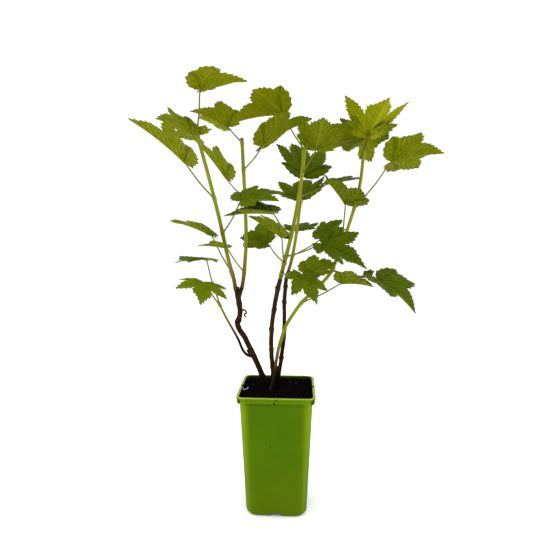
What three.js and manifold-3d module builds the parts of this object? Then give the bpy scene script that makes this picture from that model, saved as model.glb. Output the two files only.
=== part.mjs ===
// A young blackcurrant bush in a square nursery pot.
// Millimetres, +Z up, origin at the middle of the pot's flat underside.
import * as THREE from 'three';
import { mergeVertices } from 'three/addons/utils/BufferGeometryUtils.js';
import Module from 'manifold-3d';

const wasm = await Module();
wasm.setup();
const { Manifold, Mesh } = wasm;

// Pot: a tapering square shell with a collar round its mouth.
const POT = {
  height: 192, footWidth: 96, shoulderWidth: 113, collarWidth: 120, collarHeight: 10,
  wall: 1.6, floor: 2.4, footCorner: 20, shoulderCorner: 15, mouthCorner: 12, cornerSteps: 5,
  footChamfer: 5, notchWidth: 17, notchHeight: 6.5, notchDepth: 12,
  drainDiameter: 9, drainOffset: 22, drainSides: 12,
};
const SOIL = { top: 186.5, clearance: 0.3 };
const SEAT_GAP = 0.3;
const WELD = 1e-4;

// Stems: sides of a round section, and the length of one step along it.
const CANE = { sides: 8, step: 22 };
const SHOOT = { sides: 6, step: 30 };
const PIECE = { sides: 6, step: 100 };
const STALK = {
  sides: 4, steps: 4, footRadius: 1.4, tipRadius: 1.0, intoBlade: 3,
  bendAt: 0.55, sag: 0.03,
};
const HEIGHT_SEARCH_STEPS = 30;

// A leaf with three main lobes and two small ones at its base. Each row is an angle from
// the midrib in degrees, a reach as a share of the blade's length, and how far a leaf's
// own cut draws that point in.
const LEAF = {
  thickness: 1.1,
  droop: 14,
  half: [
    [0, 1.0, 0], [11, 0.86, 0.45], [21, 0.77, 0.45], [30, 0.68, 1],
    [39, 0.79, 0.45], [50, 0.88, 0], [60, 0.76, 0.45], [72, 0.62, 1],
    [84, 0.65, 0], [98, 0.53, 0.45], [116, 0.32, 0.45], [142, 0.13, 1],
  ],
  rings: [0.5, 1],
};

// Canes, by the points that their bends need, with a radius at the foot and at the tip.
const CANES = {
  cane_left: {
    route: [[-20, 6, 182], [-26, 6, 208], [-53, 3, 270], [-65, 2, 291], [-61, 1, 311], [-64, 1, 340]],
    radii: [4.9, 4.2],
  },
  cane_centre: {
    route: [[-7, 10, 182], [-8, 8, 215], [-10, 1, 250], [-9, -3, 290], [0, -8, 348], [5, -10, 368]],
    radii: [3.8, 3.6],
  },
  cane_right: {
    route: [[-2, 27, 182], [6, 27, 238], [10, 29, 271], [10, 33, 326], [13, 35, 367]],
    radii: [3.5, 3.3],
  },
  cane_low: {
    route: [[-13, -9, 182], [-7, -6, 202], [2, -4, 255], [12, -3, 289]],
    radii: [2.4, 2.9],
  },
};

// Short pieces on the left cane: the two prongs of its fork, a knob, two dead stubs
// and a curled dry spur. Each has a foot, a tip and a radius at either end.
const LEFT_CANE_PIECES = [
  { from: [-64, 1, 336], to: [-68, -2, 353], radii: [3.6, 3.2] },
  { from: [-64, 1, 336], to: [-58, 3, 353], radii: [3.5, 3.1] },
  { from: [-63, 2, 289], to: [-68, 0, 300], radii: [4.6, 2.6] },
  { from: [-44, 3, 243], to: [-50, 1, 251], radii: [3.2, 1.6] },
  { from: [-63, 0, 338], to: [-63, -4, 355], radii: [2.3, 1.9] },
  { from: [-62, 1, 314], to: [-53, -5, 318], radii: [1.6, 1.4] },
  { from: [-54, -4, 319], to: [-50, -7, 307], radii: [1.3, 1.0] },
];

// Young shoots, each with its leaves. A leaf is the height where its stalk springs,
// then the bearing, reach and rise of the blade's base from there, then the heading,
// pitch and roll of the blade, its length, how far its halves fold up, and how deep its
// notches are cut.
const SHOOTS = {
  foliage_left: {
    route: [[-68, -2, 353], [-70, -3, 366], [-77, -11, 397], [-88, -27, 461], [-100, -42, 520], [-114, -60, 584]],
    radii: [3.2, 2.7],
    leaves: [
      [582, 0, 6, 63, 350, 15, 5, 68, 22, 0],
      [492, 253, 82, 40, 205, 43, -6, 84, 22, 0.1],
      [578, 117, 20, 8, 175, 30, 15, 64, 15, 0],
      [582, 90, 14, 4, 305, 20, 0, 24, 25, 0],
      [440, 300, 78, 43, 20, 22, 20, 66, 10, 0.2],
      [376, 177, 34, 62, 190, 28, 5, 66, 12, 0],
    ],
  },
  foliage_inner_left: {
    route: [[-58, 3, 353], [-56, 4, 365], [-54, 6, 385], [-52, 12, 430], [-54, 19, 485], [-61, 35, 599]],
    radii: [3.1, 2.9],
    leaves: [
      [592, 165, 26, 28, 215, 23, 5, 66, 22, 0],
      [546, 300, 78, 24, 5, 36, -5, 80, 20, 0],
      [498, 139, 51, 41, 195, 55, 0, 74, 25, 0],
      [378, 240, 44, 40, 195, 12, 0, 42, 20, 0],
    ],
  },
  foliage_spur: {
    route: [[-41, 2, 240], [-50, 1, 243], [-57, 0, 252], [-64, -5, 271], [-81, -16, 307], [-90, -25, 330]],
    radii: [2.4, 1.7],
    leaves: [
      [328, 231, 32, 38, 280, -20, -15, 54, 5, 0.3],
      [328, 122, 65, 72, 155, 5, 0, 56, 0, 0],
    ],
  },
  foliage_centre: {
    route: [[5, -10, 368], [9, -13, 385], [24, -22, 443], [37, -35, 514], [44, -45, 573]],
    radii: [3.2, 2.5],
    leaves: [
      [394, 113, 81, 31, 165, 15, -45, 54, 35, 0],
      [436, 253, 82, 29, 180, 5, -12, 66, 18, 0],
      [393, 258, 16, 41, 165, 36, 10, 62, 30, 0.1],
      [529, 300, 38, 27, 280, 35, -15, 56, 35, 0],
      [377, 297, 72, 3, 312, -50, 0, 50, 10, 0.2],
      [404, 329, 63, 20, 350, -22, 30, 74, 22, 0.3],
    ],
  },
  foliage_back: {
    route: [[13, 35, 367], [22, 41, 398], [34, 55, 475], [39, 68, 550], [41, 75, 591]],
    radii: [2.9, 2.2],
    leaves: [
      [590, 247, 82, 36, 185, 0, 5, 80, 35, 0],
      [542, 87, 38, 5, 112, 60, 2, 88, 34, 0.2],
      [489, 84, 53, 17, 90, 40, -10, 76, 32, 0.15],
      [445, 88, 51, 4, 75, 24, 0, 50, 15, 0.1],
      [374, 295, 73, 5, 10, 24, 25, 48, 20, 0],
      [404, 14, 53, 31, 20, 50, 20, 48, 10, 0],
      [505, 2, 46, 22, 338, 8, 15, 60, 16, 0],
    ],
  },
  foliage_right: {
    route: [[12, -3, 289], [20, -3, 303], [39, -2, 330], [82, 0, 374], [96, 0, 405], [128, 3, 507], [137, 5, 586]],
    radii: [2.9, 2.5],
    leaves: [
      [423, 40, 6, 64, 240, 30, -25, 68, 35, 0],
      [568, 280, 25, 17, 280, 31, -4, 84, 36, 0.3],
      [580, 270, 20, 5, 45, 12, -40, 52, -10, 0],
      [563, 235, 5, 25, 150, 0, 10, 78, 20, 0],
      [563, 81, 46, 41, 120, 45, 0, 50, 20, 0],
      [479, 18, 65, 77, 352, 14, -22, 78, 20, 0],
      [330, 353, 63, 32, 335, 8, -10, 50, 35, 0],
      [382, 336, 73, -11, 330, -29, 8, 74, 20, 0.05],
      [382, 336, 59, -7, 60, 50, 0, 14, 30, 0],
    ],
  },
};

const MATERIALS = {
  pot: new THREE.MeshStandardMaterial({ color: 0x537603, roughness: 0.45, metalness: 0 }),
  soil: new THREE.MeshStandardMaterial({ color: 0x14100c, roughness: 1, metalness: 0 }),
  bark: new THREE.MeshStandardMaterial({ color: 0x3f2c19, roughness: 0.8, metalness: 0 }),
  greenStem: new THREE.MeshStandardMaterial({ color: 0x8a8b30, roughness: 0.6, metalness: 0 }),
  leaf: new THREE.MeshStandardMaterial({ color: 0x5a6d0e, roughness: 0.6, metalness: 0 }),
};

const vector = ([x, y, z]) => new THREE.Vector3(x, y, z);

// Closed surface from stacked rings of equal count, capped at both ends.
function loftGeometry(rings) {
  const count = rings[0].length;
  const positions = rings.flat().flatMap((p) => [p.x, p.y, p.z]);
  const index = [];
  for (let r = 0; r + 1 < rings.length; r += 1) {
    for (let i = 0; i < count; i += 1) {
      const a = r * count + i;
      const b = r * count + ((i + 1) % count);
      index.push(a, b, b + count, a, b + count, a + count);
    }
  }
  const last = (rings.length - 1) * count;
  for (let i = 1; i + 1 < count; i += 1) {
    index.push(0, i + 1, i, last, last + i, last + i + 1);
  }
  const geometry = new THREE.BufferGeometry();
  geometry.setAttribute('position', new THREE.Float32BufferAttribute(positions, 3));
  geometry.setIndex(index);
  return geometry;
}

function toSolid(geometry) {
  const bare = geometry.clone();
  bare.deleteAttribute('normal');
  bare.deleteAttribute('uv');
  const merged = mergeVertices(bare, WELD);
  return new Manifold(new Mesh({
    numProp: 3,
    vertProperties: new Float32Array(merged.attributes.position.array),
    triVerts: new Uint32Array(merged.index.array),
  }));
}

function toMesh(name, solid, material) {
  const { vertProperties, triVerts } = solid.getMesh();
  const geometry = new THREE.BufferGeometry();
  geometry.setAttribute('position', new THREE.BufferAttribute(new Float32Array(vertProperties), 3));
  geometry.setIndex(new THREE.BufferAttribute(new Uint32Array(triVerts), 1));
  geometry.computeVertexNormals();
  const mesh = new THREE.Mesh(geometry, material);
  mesh.name = name;
  return mesh;
}

const fuse = (solids) => Manifold.union(solids);

// Round tapering limb along a curve.
function limbGeometry(curve, [footRadius, tipRadius], sides, steps) {
  const frames = curve.computeFrenetFrames(steps, false);
  const rings = [];
  for (let s = 0; s <= steps; s += 1) {
    const t = s / steps;
    const centre = curve.getPointAt(t);
    const radius = THREE.MathUtils.lerp(footRadius, tipRadius, t);
    rings.push(Array.from({ length: sides }, (_, i) => {
      const angle = (i / sides) * 2 * Math.PI;
      return centre.clone()
        .addScaledVector(frames.normals[s], Math.cos(angle) * radius)
        .addScaledVector(frames.binormals[s], Math.sin(angle) * radius);
    }));
  }
  return loftGeometry(rings);
}

const smooth = (points) => new THREE.CatmullRomCurve3(points, false, 'centripetal');

// A limb by its route, grown by a clearance where the space round it is wanted.
function limb(route, radii, { sides, step }, grow = 0) {
  const points = route.map(vector);
  const grown = radii.map((radius) => radius + grow);
  const steps = Math.ceil(smooth(points).getLength() / step);
  const pushed = (end, inner) => end.clone().add(end.clone().sub(inner).setLength(grow));
  const last = points.length - 1;
  const foot = pushed(points[0], points[1]);
  const tip = pushed(points[last], points[last - 1]);
  return toSolid(limbGeometry(smooth([foot, ...points.slice(1, last), tip]), grown, sides, steps));
}

function piece({ from, to, radii }, grow = 0) {
  return limb([from, to], radii, PIECE, grow);
}

// The point of a route at a height.
function atHeight(route, height) {
  const curve = smooth(route.map(vector));
  let low = 0;
  let high = 1;
  for (let i = 0; i < HEIGHT_SEARCH_STEPS; i += 1) {
    const middle = (low + high) / 2;
    if (curve.getPointAt(middle).z < height) low = middle;
    else high = middle;
  }
  return curve.getPointAt(low);
}

// Axes of a blade: along the midrib, across it, and out of its upper side.
function bladeAxes(heading, pitch, roll) {
  const [h, p, r] = [heading, pitch, roll].map(THREE.MathUtils.degToRad);
  const along = new THREE.Vector3(Math.cos(p) * Math.cos(h), Math.cos(p) * Math.sin(h), Math.sin(p));
  const level = new THREE.Vector3(-Math.sin(h), Math.cos(h), 0);
  const across = level.clone().applyAxisAngle(along, r);
  return { along, across, out: new THREE.Vector3().crossVectors(along, across) };
}

// Outline of a blade one unit long, as angle and reach all the way round.
function leafOutline(cut) {
  const left = LEAF.half.map(([angle, reach, share]) => [angle, reach * (1 - cut * share)]);
  const right = left.slice(1).reverse().map(([angle, reach]) => [-angle, reach]);
  return [...left, ...right];
}

// Thin blade: the halves fold up along the midrib, and the tip droops on an arc.
function bladeGeometry(base, axes, length, fold, cut) {
  const droop = THREE.MathUtils.degToRad(LEAF.droop) / length;
  const lift = THREE.MathUtils.degToRad(fold);
  const outline = leafOutline(cut);
  const place = (angle, reach, level) => {
    const u = length * reach * Math.cos(THREE.MathUtils.degToRad(angle));
    const v = length * reach * Math.sin(THREE.MathUtils.degToRad(angle));
    const height = level + Math.abs(v) * Math.sin(lift) - (1 - Math.cos(droop * u)) / droop;
    return base.clone()
      .addScaledVector(axes.along, Math.sin(droop * u) / droop)
      .addScaledVector(axes.across, v * Math.cos(lift))
      .addScaledVector(axes.out, height);
  };
  const points = [];
  const index = [];
  const count = outline.length;
  const half = LEAF.thickness / 2;
  for (const level of [half, -half]) {
    points.push(place(0, 0, level));
    for (const ring of LEAF.rings) {
      outline.forEach(([angle, reach]) => points.push(place(angle, reach * ring, level)));
    }
  }
  const perSide = 1 + count * LEAF.rings.length;
  for (const [side, flip] of [[0, false], [perSide, true]]) {
    const face = (a, b, c) => index.push(...(flip ? [a, c, b] : [a, b, c]));
    for (let i = 0; i < count; i += 1) {
      const next = (i + 1) % count;
      face(side, side + 1 + i, side + 1 + next);
      for (let ring = 1; ring < LEAF.rings.length; ring += 1) {
        const inner = side + 1 + (ring - 1) * count;
        const outer = side + 1 + ring * count;
        face(inner + i, outer + i, outer + next);
        face(inner + i, outer + next, inner + next);
      }
    }
  }
  const edge = 1 + (LEAF.rings.length - 1) * count;
  for (let i = 0; i < count; i += 1) {
    const a = edge + i;
    const b = edge + ((i + 1) % count);
    index.push(a, a + perSide, b + perSide, a, b + perSide, b);
  }
  const geometry = new THREE.BufferGeometry();
  geometry.setAttribute('position', new THREE.Float32BufferAttribute(points.flatMap((p) => p.toArray()), 3));
  geometry.setIndex(index);
  return geometry;
}

// One leaf on its stalk, springing from a shoot.
function leaf(route, [height, bearing, reach, rise, heading, pitch, roll, length, fold, cut]) {
  const foot = atHeight(route, height);
  const direction = THREE.MathUtils.degToRad(bearing);
  const span = new THREE.Vector3(Math.cos(direction) * reach, Math.sin(direction) * reach, rise);
  const base = foot.clone().add(span);
  const axes = bladeAxes(heading, pitch, roll);
  const bend = foot.clone().addScaledVector(span, STALK.bendAt);
  bend.z -= span.length() * STALK.sag;
  const end = base.clone().addScaledVector(axes.along, STALK.intoBlade);
  const radii = [STALK.footRadius, STALK.tipRadius];
  const stalk = limbGeometry(smooth([foot, bend, base, end]), radii, STALK.sides, STALK.steps);
  return [toSolid(stalk), toSolid(bladeGeometry(base, axes, length, fold, cut))];
}

// A shoot with its leaves, cut clear of the limbs given and rid of loose scraps.
function foliage({ route, radii, leaves }, limbs) {
  const stem = limb(route, radii, SHOOT);
  const whole = fuse([stem, ...leaves.flatMap((row) => leaf(route, row))]);
  const parts = whole.subtract(limbs).decompose();
  return parts.reduce((best, part) => (part.volume() > best.volume() ? part : best));
}

// Rounded square ring of the pot at a height.
function squareRing(width, corner, z) {
  const centre = width / 2 - corner;
  const points = [];
  for (let quarter = 0; quarter < 4; quarter += 1) {
    for (let s = 0; s <= POT.cornerSteps; s += 1) {
      const angle = (quarter + s / POT.cornerSteps) * (Math.PI / 2);
      const cx = centre * (quarter === 0 || quarter === 3 ? 1 : -1);
      const cy = centre * (quarter < 2 ? 1 : -1);
      points.push(new THREE.Vector3(cx + corner * Math.cos(angle), cy + corner * Math.sin(angle), z));
    }
  }
  return points;
}

// Outer width and corner of the pot's tapering body at a height.
function potAt(z) {
  const t = z / (POT.height - POT.collarHeight);
  return {
    width: THREE.MathUtils.lerp(POT.footWidth, POT.shoulderWidth, t),
    corner: THREE.MathUtils.lerp(POT.footCorner, POT.shoulderCorner, t),
  };
}

function pot() {
  const shoulder = POT.height - POT.collarHeight;
  const { footChamfer: chamfer, wall } = POT;
  const body = potAt(chamfer);
  const outer = toSolid(loftGeometry([
    squareRing(POT.footWidth - 2 * chamfer, POT.footCorner - chamfer, 0),
    squareRing(body.width, body.corner, chamfer),
    squareRing(POT.shoulderWidth, POT.shoulderCorner, shoulder),
    squareRing(POT.collarWidth, POT.mouthCorner, shoulder),
    squareRing(POT.collarWidth, POT.mouthCorner, POT.height),
  ]));
  const inside = (width, corner, z) => squareRing(width - 2 * wall, corner - wall, z);
  const floor = potAt(POT.floor + chamfer);
  const inner = toSolid(loftGeometry([
    inside(floor.width - 2 * chamfer, floor.corner - chamfer, POT.floor),
    inside(floor.width, floor.corner, POT.floor + chamfer),
    inside(POT.shoulderWidth, POT.shoulderCorner, shoulder),
    inside(POT.shoulderWidth, POT.shoulderCorner, shoulder + wall),
    inside(POT.collarWidth, POT.mouthCorner, shoulder + wall),
    inside(POT.collarWidth, POT.mouthCorner, POT.height + wall),
  ]));
  const cuts = [];
  for (let side = 0; side < 4; side += 1) {
    const notch = new THREE.BoxGeometry(POT.notchDepth * 2, POT.notchWidth, POT.notchHeight * 2);
    notch.translate(POT.footWidth / 2, 0, 0);
    notch.rotateZ((side * Math.PI) / 2);
    cuts.push(toSolid(notch));
    const radius = POT.drainDiameter / 2;
    const drain = new THREE.CylinderGeometry(radius, radius, POT.floor * 4, POT.drainSides);
    drain.rotateX(Math.PI / 2);
    drain.translate(POT.drainOffset, POT.drainOffset, 0);
    drain.rotateZ((side * Math.PI) / 2);
    cuts.push(toSolid(drain));
  }
  return outer.subtract(fuse([inner, ...cuts]));
}

// Soil fills the body up to its shoulder, and the wider collar above the ledge.
function soil() {
  const inset = POT.wall + SOIL.clearance;
  const shoulder = POT.height - POT.collarHeight;
  const bottom = POT.floor + POT.footChamfer + SOIL.clearance;
  const ledge = shoulder + inset;
  const inside = (width, corner, z) => squareRing(width - 2 * inset, corner - inset, z);
  const foot = potAt(bottom);
  return toSolid(loftGeometry([
    inside(foot.width, foot.corner, bottom),
    inside(POT.shoulderWidth, POT.shoulderCorner, shoulder),
    inside(POT.shoulderWidth, POT.shoulderCorner, ledge),
    inside(POT.collarWidth, POT.mouthCorner, ledge),
    inside(POT.collarWidth, POT.mouthCorner, SOIL.top),
  ]));
}

const plant = new THREE.Group();
plant.add(toMesh('pot', pot(), MATERIALS.pot));
plant.add(toMesh('potting_soil', soil(), MATERIALS.soil));

// Canes stand on the soil, each cut flat just clear of it.
const belowGround = new THREE.BoxGeometry(POT.collarWidth, POT.collarWidth, SOIL.top);
belowGround.translate(0, 0, SOIL.top / 2 + SEAT_GAP);
const buried = toSolid(belowGround);
const standing = ([first, second, ...rest]) => {
  const deeper = first.map((value, axis) => 2 * value - second[axis]);
  return [deeper, first, second, ...rest];
};
const caneParts = (name, { route, radii }, grow) => [
  limb(standing(route), radii, CANE, grow),
  ...(name === 'cane_left' ? LEFT_CANE_PIECES.map((part) => piece(part, grow)) : []),
];
const taken = [];
for (const [name, cane] of Object.entries(CANES)) {
  const material = name === 'cane_low' ? MATERIALS.greenStem : MATERIALS.bark;
  plant.add(toMesh(name, fuse(caneParts(name, cane, 0)).subtract(buried), material));
  taken.push(...caneParts(name, cane, SEAT_GAP));
}

for (const [name, shoot] of Object.entries(SHOOTS)) {
  plant.add(toMesh(name, foliage(shoot, fuse(taken)), MATERIALS.leaf));
  taken.push(limb(shoot.route, shoot.radii, SHOOT, SEAT_GAP));
}

export default plant;
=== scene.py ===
"""A young blackcurrant bush in a square nursery pot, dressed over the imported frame.

Sizes are real millimetres, turned to metres where a mesh is built. The lines of the canes
and shoots and the attitudes of the leaves are those of the solids, drawn finer.
"""

import logging
import math
from collections.abc import Sequence
from dataclasses import dataclass, field
from enum import Enum
from typing import ClassVar

import bmesh
import bpy
import numpy as np
from mathutils import Matrix, Vector, noise


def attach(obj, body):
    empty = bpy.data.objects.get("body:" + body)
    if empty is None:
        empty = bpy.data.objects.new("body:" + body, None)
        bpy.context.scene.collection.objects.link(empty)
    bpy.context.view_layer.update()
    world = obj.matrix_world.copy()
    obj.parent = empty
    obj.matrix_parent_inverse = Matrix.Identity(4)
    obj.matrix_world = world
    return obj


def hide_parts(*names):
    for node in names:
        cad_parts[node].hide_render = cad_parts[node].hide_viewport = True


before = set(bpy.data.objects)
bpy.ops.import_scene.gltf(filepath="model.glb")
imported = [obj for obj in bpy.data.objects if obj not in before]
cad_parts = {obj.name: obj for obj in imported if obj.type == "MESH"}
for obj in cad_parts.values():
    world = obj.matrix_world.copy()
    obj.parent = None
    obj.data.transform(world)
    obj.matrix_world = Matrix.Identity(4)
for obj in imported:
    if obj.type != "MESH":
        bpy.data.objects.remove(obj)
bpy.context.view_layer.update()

log = logging.getLogger("blackcurrant")
MM = 0.001
TINY = 1e-6
BODY = "root"

Point = tuple[float, float, float]
Socket = bpy.types.NodeSocket


def linear(hex_code: str) -> tuple[float, float, float, float]:
    """Turns an sRGB hex value into linear colour.

    Args:
        hex_code: Six hex digits.

    Returns:
        Red, green, blue and an alpha of one.
    """
    shares = (int(hex_code[i:i + 2], 16) / 255 for i in (0, 2, 4))
    red, green, blue = (c / 12.92 if c <= 0.04045 else ((c + 0.055) / 1.055) ** 2.4 for c in shares)
    return red, green, blue, 1.0


def between(ends: tuple[float, float], share: float | np.ndarray) -> float | np.ndarray:
    """Runs evenly from one value to another.

    Args:
        ends: The values at a share of 0 and of 1.
        share: One share or an array of them.

    Returns:
        The value at each share.
    """
    return ends[0] + (ends[1] - ends[0]) * share


def add_node(tree: bpy.types.NodeTree, kind: str, settings: dict | None = None,
             inputs: dict | None = None) -> bpy.types.Node:
    """Adds a node with its settings, and fills or links its inputs.

    Args:
        tree: The tree that takes the node.
        kind: The node's type.
        settings: Properties of the node by name.
        inputs: Values or output sockets, by the input's name or number.

    Returns:
        The new node.
    """
    node = tree.nodes.new(kind)
    for name, value in (settings or {}).items():
        setattr(node, name, value)
    for key, value in (inputs or {}).items():
        if isinstance(value, Socket):
            tree.links.new(value, node.inputs[key])
        else:
            node.inputs[key].default_value = value
    return node


def shades(tree: bpy.types.NodeTree, factor: Socket, stops: Sequence[tuple[float, str]]) -> Socket:
    """Spreads a few colours along a factor.

    Args:
        tree: The material's tree.
        factor: What picks the colour, from 0 to 1.
        stops: Places along the factor, each with its hex colour.

    Returns:
        The colour.
    """
    ramp = add_node(tree, "ShaderNodeValToRGB", inputs={"Fac": factor})
    elements = ramp.color_ramp.elements
    while len(elements) < len(stops):
        elements.new(1.0)
    for element, (place, colour) in zip(elements, stops, strict=True):
        element.position = place
        element.color = linear(colour)
    return ramp.outputs["Color"]


def blend(tree: bpy.types.NodeTree, factor: Socket | float, under: Socket | tuple,
          over: Socket | tuple) -> Socket:
    """Mixes two colours, and gives the mixed colour.

    Args:
        tree: The material's tree.
        factor: The share of the colour that lies over.
        under: The colour at a factor of 0.
        over: The colour at a factor of 1.

    Returns:
        The colour.
    """
    mix = add_node(tree, "ShaderNodeMix", {"data_type": "RGBA"}, {0: factor, 6: under, 7: over})
    return mix.outputs[2]


def patches(tree: bpy.types.NodeTree, place: Socket, size: float, detail: float = 2.0) -> Socket:
    """Soft patches of a real size.

    Args:
        tree: The material's tree.
        place: Coordinates in metres.
        size: Width of a patch in millimetres.
        detail: How many finer layers lie in it.

    Returns:
        A factor from 0 to 1.
    """
    grain = add_node(tree, "ShaderNodeTexNoise", inputs={
        "Vector": place, "Scale": 1 / (size * MM), "Detail": detail, "Roughness": 0.55})
    return grain.outputs["Fac"]


def streaks(tree: bpy.types.NodeTree, place: Socket, size: float, pitch: float,
            detail: float = 2.0) -> Socket:
    """Soft patches of a real size, drawn out upright.

    Args:
        tree: The material's tree.
        place: Coordinates in metres.
        size: Width of a streak in millimetres.
        pitch: How often the pattern changes upright, as a share of across.
        detail: How many finer layers lie in it.

    Returns:
        A factor from 0 to 1.
    """
    drawn = add_node(tree, "ShaderNodeMapping", inputs={"Vector": place, "Scale": (1, 1, pitch)})
    return patches(tree, drawn.outputs["Vector"], size, detail)


def spread(tree: bpy.types.NodeTree, factor: Socket, source: tuple[float, float],
           target: tuple[float, float]) -> Socket:
    """Maps one range onto another with soft ends.

    Args:
        tree: The material's tree.
        factor: What is mapped.
        source: Where the range begins and ends.
        target: What those ends become.

    Returns:
        The mapped factor.
    """
    ranged = add_node(tree, "ShaderNodeMapRange", {"interpolation_type": "SMOOTHSTEP"}, {
        "Value": factor, "From Min": source[0], "From Max": source[1],
        "To Min": target[0], "To Max": target[1]})
    return ranged.outputs["Result"]


@dataclass(frozen=True)
class Finish:
    """A surface, named for what it is made of."""

    name: str
    roughness: float
    specular: float
    ior: float

    def make(self) -> bpy.types.Material:
        """Gives the material, built the first time it is asked for.

        Returns:
            The material.
        """
        found = bpy.data.materials.get(self.name)
        if found:
            return found
        material = bpy.data.materials.new(self.name)
        material.use_nodes = True
        tree = material.node_tree
        tree.nodes.clear()
        shader = add_node(tree, "ShaderNodeBsdfPrincipled", inputs={
            "Roughness": self.roughness, "Specular IOR Level": self.specular, "IOR": self.ior})
        add_node(tree, "ShaderNodeOutputMaterial", inputs={"Surface": shader.outputs["BSDF"]})
        place = add_node(tree, "ShaderNodeTexCoord").outputs["Object"]
        for name, socket in self.paint(tree, place).items():
            tree.links.new(socket, shader.inputs[name])
        return material

    def paint(self, tree: bpy.types.NodeTree, place: Socket) -> dict[str, Socket]:
        """Builds the pattern of this finish.

        Args:
            tree: The material's tree.
            place: Object coordinates in metres.

        Returns:
            The sockets that feed the shader, by the name of its input.
        """
        raise NotImplementedError

    def relief(self, tree: bpy.types.NodeTree, height: Socket, depth: float) -> Socket:
        """Turns a height into a normal.

        Args:
            tree: The material's tree.
            height: Height from 0 to 1.
            depth: Its real depth in millimetres.

        Returns:
            The normal.
        """
        bump = add_node(tree, "ShaderNodeBump", inputs={"Distance": depth * MM, "Height": height})
        return bump.outputs["Normal"]


@dataclass(frozen=True)
class MouldedPolypropylene(Finish):
    """Injection-moulded polypropylene: satin, waxy, faintly clouded, with fine flow lines."""

    name: str = "moulded_polypropylene"
    roughness: float = 0.42
    specular: float = 0.03
    ior: float = 1.49
    shade_low: str = "416000"
    shade_high: str = "486700"
    foot: str = "5c6600"
    foot_height: float = 130.0
    foot_share: float = 0.35
    # Painted highlight: the corner colour lightens the rounded corners, where the side light falls.
    corner: str = "768c00"
    corner_highlight_at: tuple[float, float] = (37.0, 51.0)
    corner_highlight_share: float = 0.7
    # Painted light: the lip colour makes the collar paler, as if light glowed through it.
    lip: str = "587802"
    lip_light_from: float = 184.0
    lip_light_share: float = 0.7
    # Painted shadow: a dark band under the overhang of the collar.
    collar_shadow: str = "2c4000"
    collar_shadow_at: tuple[float, float] = (178.5, 181.6)
    collar_shadow_share: float = 0.75
    # Painted shade with some peat soiling: the faces inside the mouth made darker.
    shade_and_stain: str = "1f2803"
    shade_and_stain_inside: float = 58.6
    shade_and_stain_edge: float = 0.3
    shade_and_stain_share: float = 0.8
    # Painted highlight: a pale line along the top of the lip.
    rim: str = "93a83c"
    rim_highlight_from: float = 191.0
    rim_highlight_share: float = 0.8
    fade: float = 0.8
    cloud: float = 55.0
    flow: float = 1.2
    flow_pitch: float = 0.06
    flow_share: float = 0.5
    grain: float = 0.6
    sheen: tuple[float, float] = (0.05, 0.06)
    depth: float = 0.04

    def paint(self, tree: bpy.types.NodeTree, place: Socket) -> dict[str, Socket]:
        """Clouds the colour, lays over it the foot, painted light on the corners, lip and rim, and
        painted shade under the collar and, with peat soiling, inside the mouth, and grains the skin.

        Args:
            tree: The material's tree.
            place: Object coordinates in metres.

        Returns:
            Colour, roughness and normal.
        """
        clouds = patches(tree, place, self.cloud)
        colour = shades(tree, clouds, ((0.3, self.shade_low), (0.7, self.shade_high)))
        axes = add_node(tree, "ShaderNodeSeparateXYZ", inputs={"Vector": place}).outputs
        across, deep = (
            add_node(tree, "ShaderNodeMath", {"operation": "ABSOLUTE"}, {0: axes[i]}).outputs["Value"]
            for i in range(2))
        out, pair = (
            add_node(tree, "ShaderNodeMath", {"operation": kind}, {0: across, 1: deep}).outputs["Value"]
            for kind in ("MAXIMUM", "MINIMUM"))
        up, fade, blur = axes["Z"], self.fade * MM, self.shade_and_stain_edge * MM
        foot, lip, rim, edge = (
            size * MM for size in (self.foot_height, self.lip_light_from, self.rim_highlight_from, self.shade_and_stain_inside))
        low, high = (height * MM for height in self.collar_shadow_at)
        start, end = (width * MM for width in self.corner_highlight_at)
        # Painted shadow under the overhang of the collar.
        under_collar = (
            spread(tree, up, (low, high), (0.0, self.collar_shadow_share)),
            spread(tree, up, (high, high + fade), (1.0, 0.0)))
        # Painted shade with some peat soiling, inside the mouth.
        inside = (
            spread(tree, out, (edge - blur, edge + blur), (self.shade_and_stain_share, 0.0)),
            spread(tree, up, (high, high + MM), (0.0, 1.0)))
        collar_shadow, shade_and_stain = (
            add_node(tree, "ShaderNodeMath", {"operation": "MULTIPLY"}, {0: one, 1: two}).outputs["Value"]
            for one, two in (under_collar, inside))
        # The corner, lip and rim layers are painted light; the collar shadow and the inner layer are
        # painted shade.
        layers = (
            (self.foot, spread(tree, up, (0.0, foot), (self.foot_share, 0.0))),
            (self.corner, spread(tree, pair, (start, end), (0.0, self.corner_highlight_share))),
            (self.lip, spread(tree, up, (lip, lip + MM), (0.0, self.lip_light_share))),
            (self.collar_shadow, collar_shadow),
            (self.shade_and_stain, shade_and_stain),
            (self.rim, spread(tree, up, (rim, rim + fade), (0.0, self.rim_highlight_share))),
        )
        for over, share in layers:
            colour = blend(tree, share, colour, linear(over))
        flow = streaks(tree, place, self.flow, self.flow_pitch)
        skin = patches(tree, place, self.grain)
        height = add_node(tree, "ShaderNodeMath", {"operation": "MULTIPLY_ADD"}, {
            0: flow, 1: self.flow_share, 2: skin})
        gloss = (self.roughness - self.sheen[0], self.roughness + self.sheen[1])
        return {
            "Base Color": colour,
            "Roughness": spread(tree, skin, (0.3, 0.7), gloss),
            "Normal": self.relief(tree, height.outputs["Value"], self.depth),
        }


@dataclass(frozen=True)
class ShadedGateScar(MouldedPolypropylene):
    """The scar of the moulding gate: the same plastic, twisted off, and painted a little darker as the
    shade round it.
    """

    name: str = "gate_scar"
    # Painted shade: darker greens for the shade round the scar.
    shade_low: str = "263800"
    shade_high: str = "304601"


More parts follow.
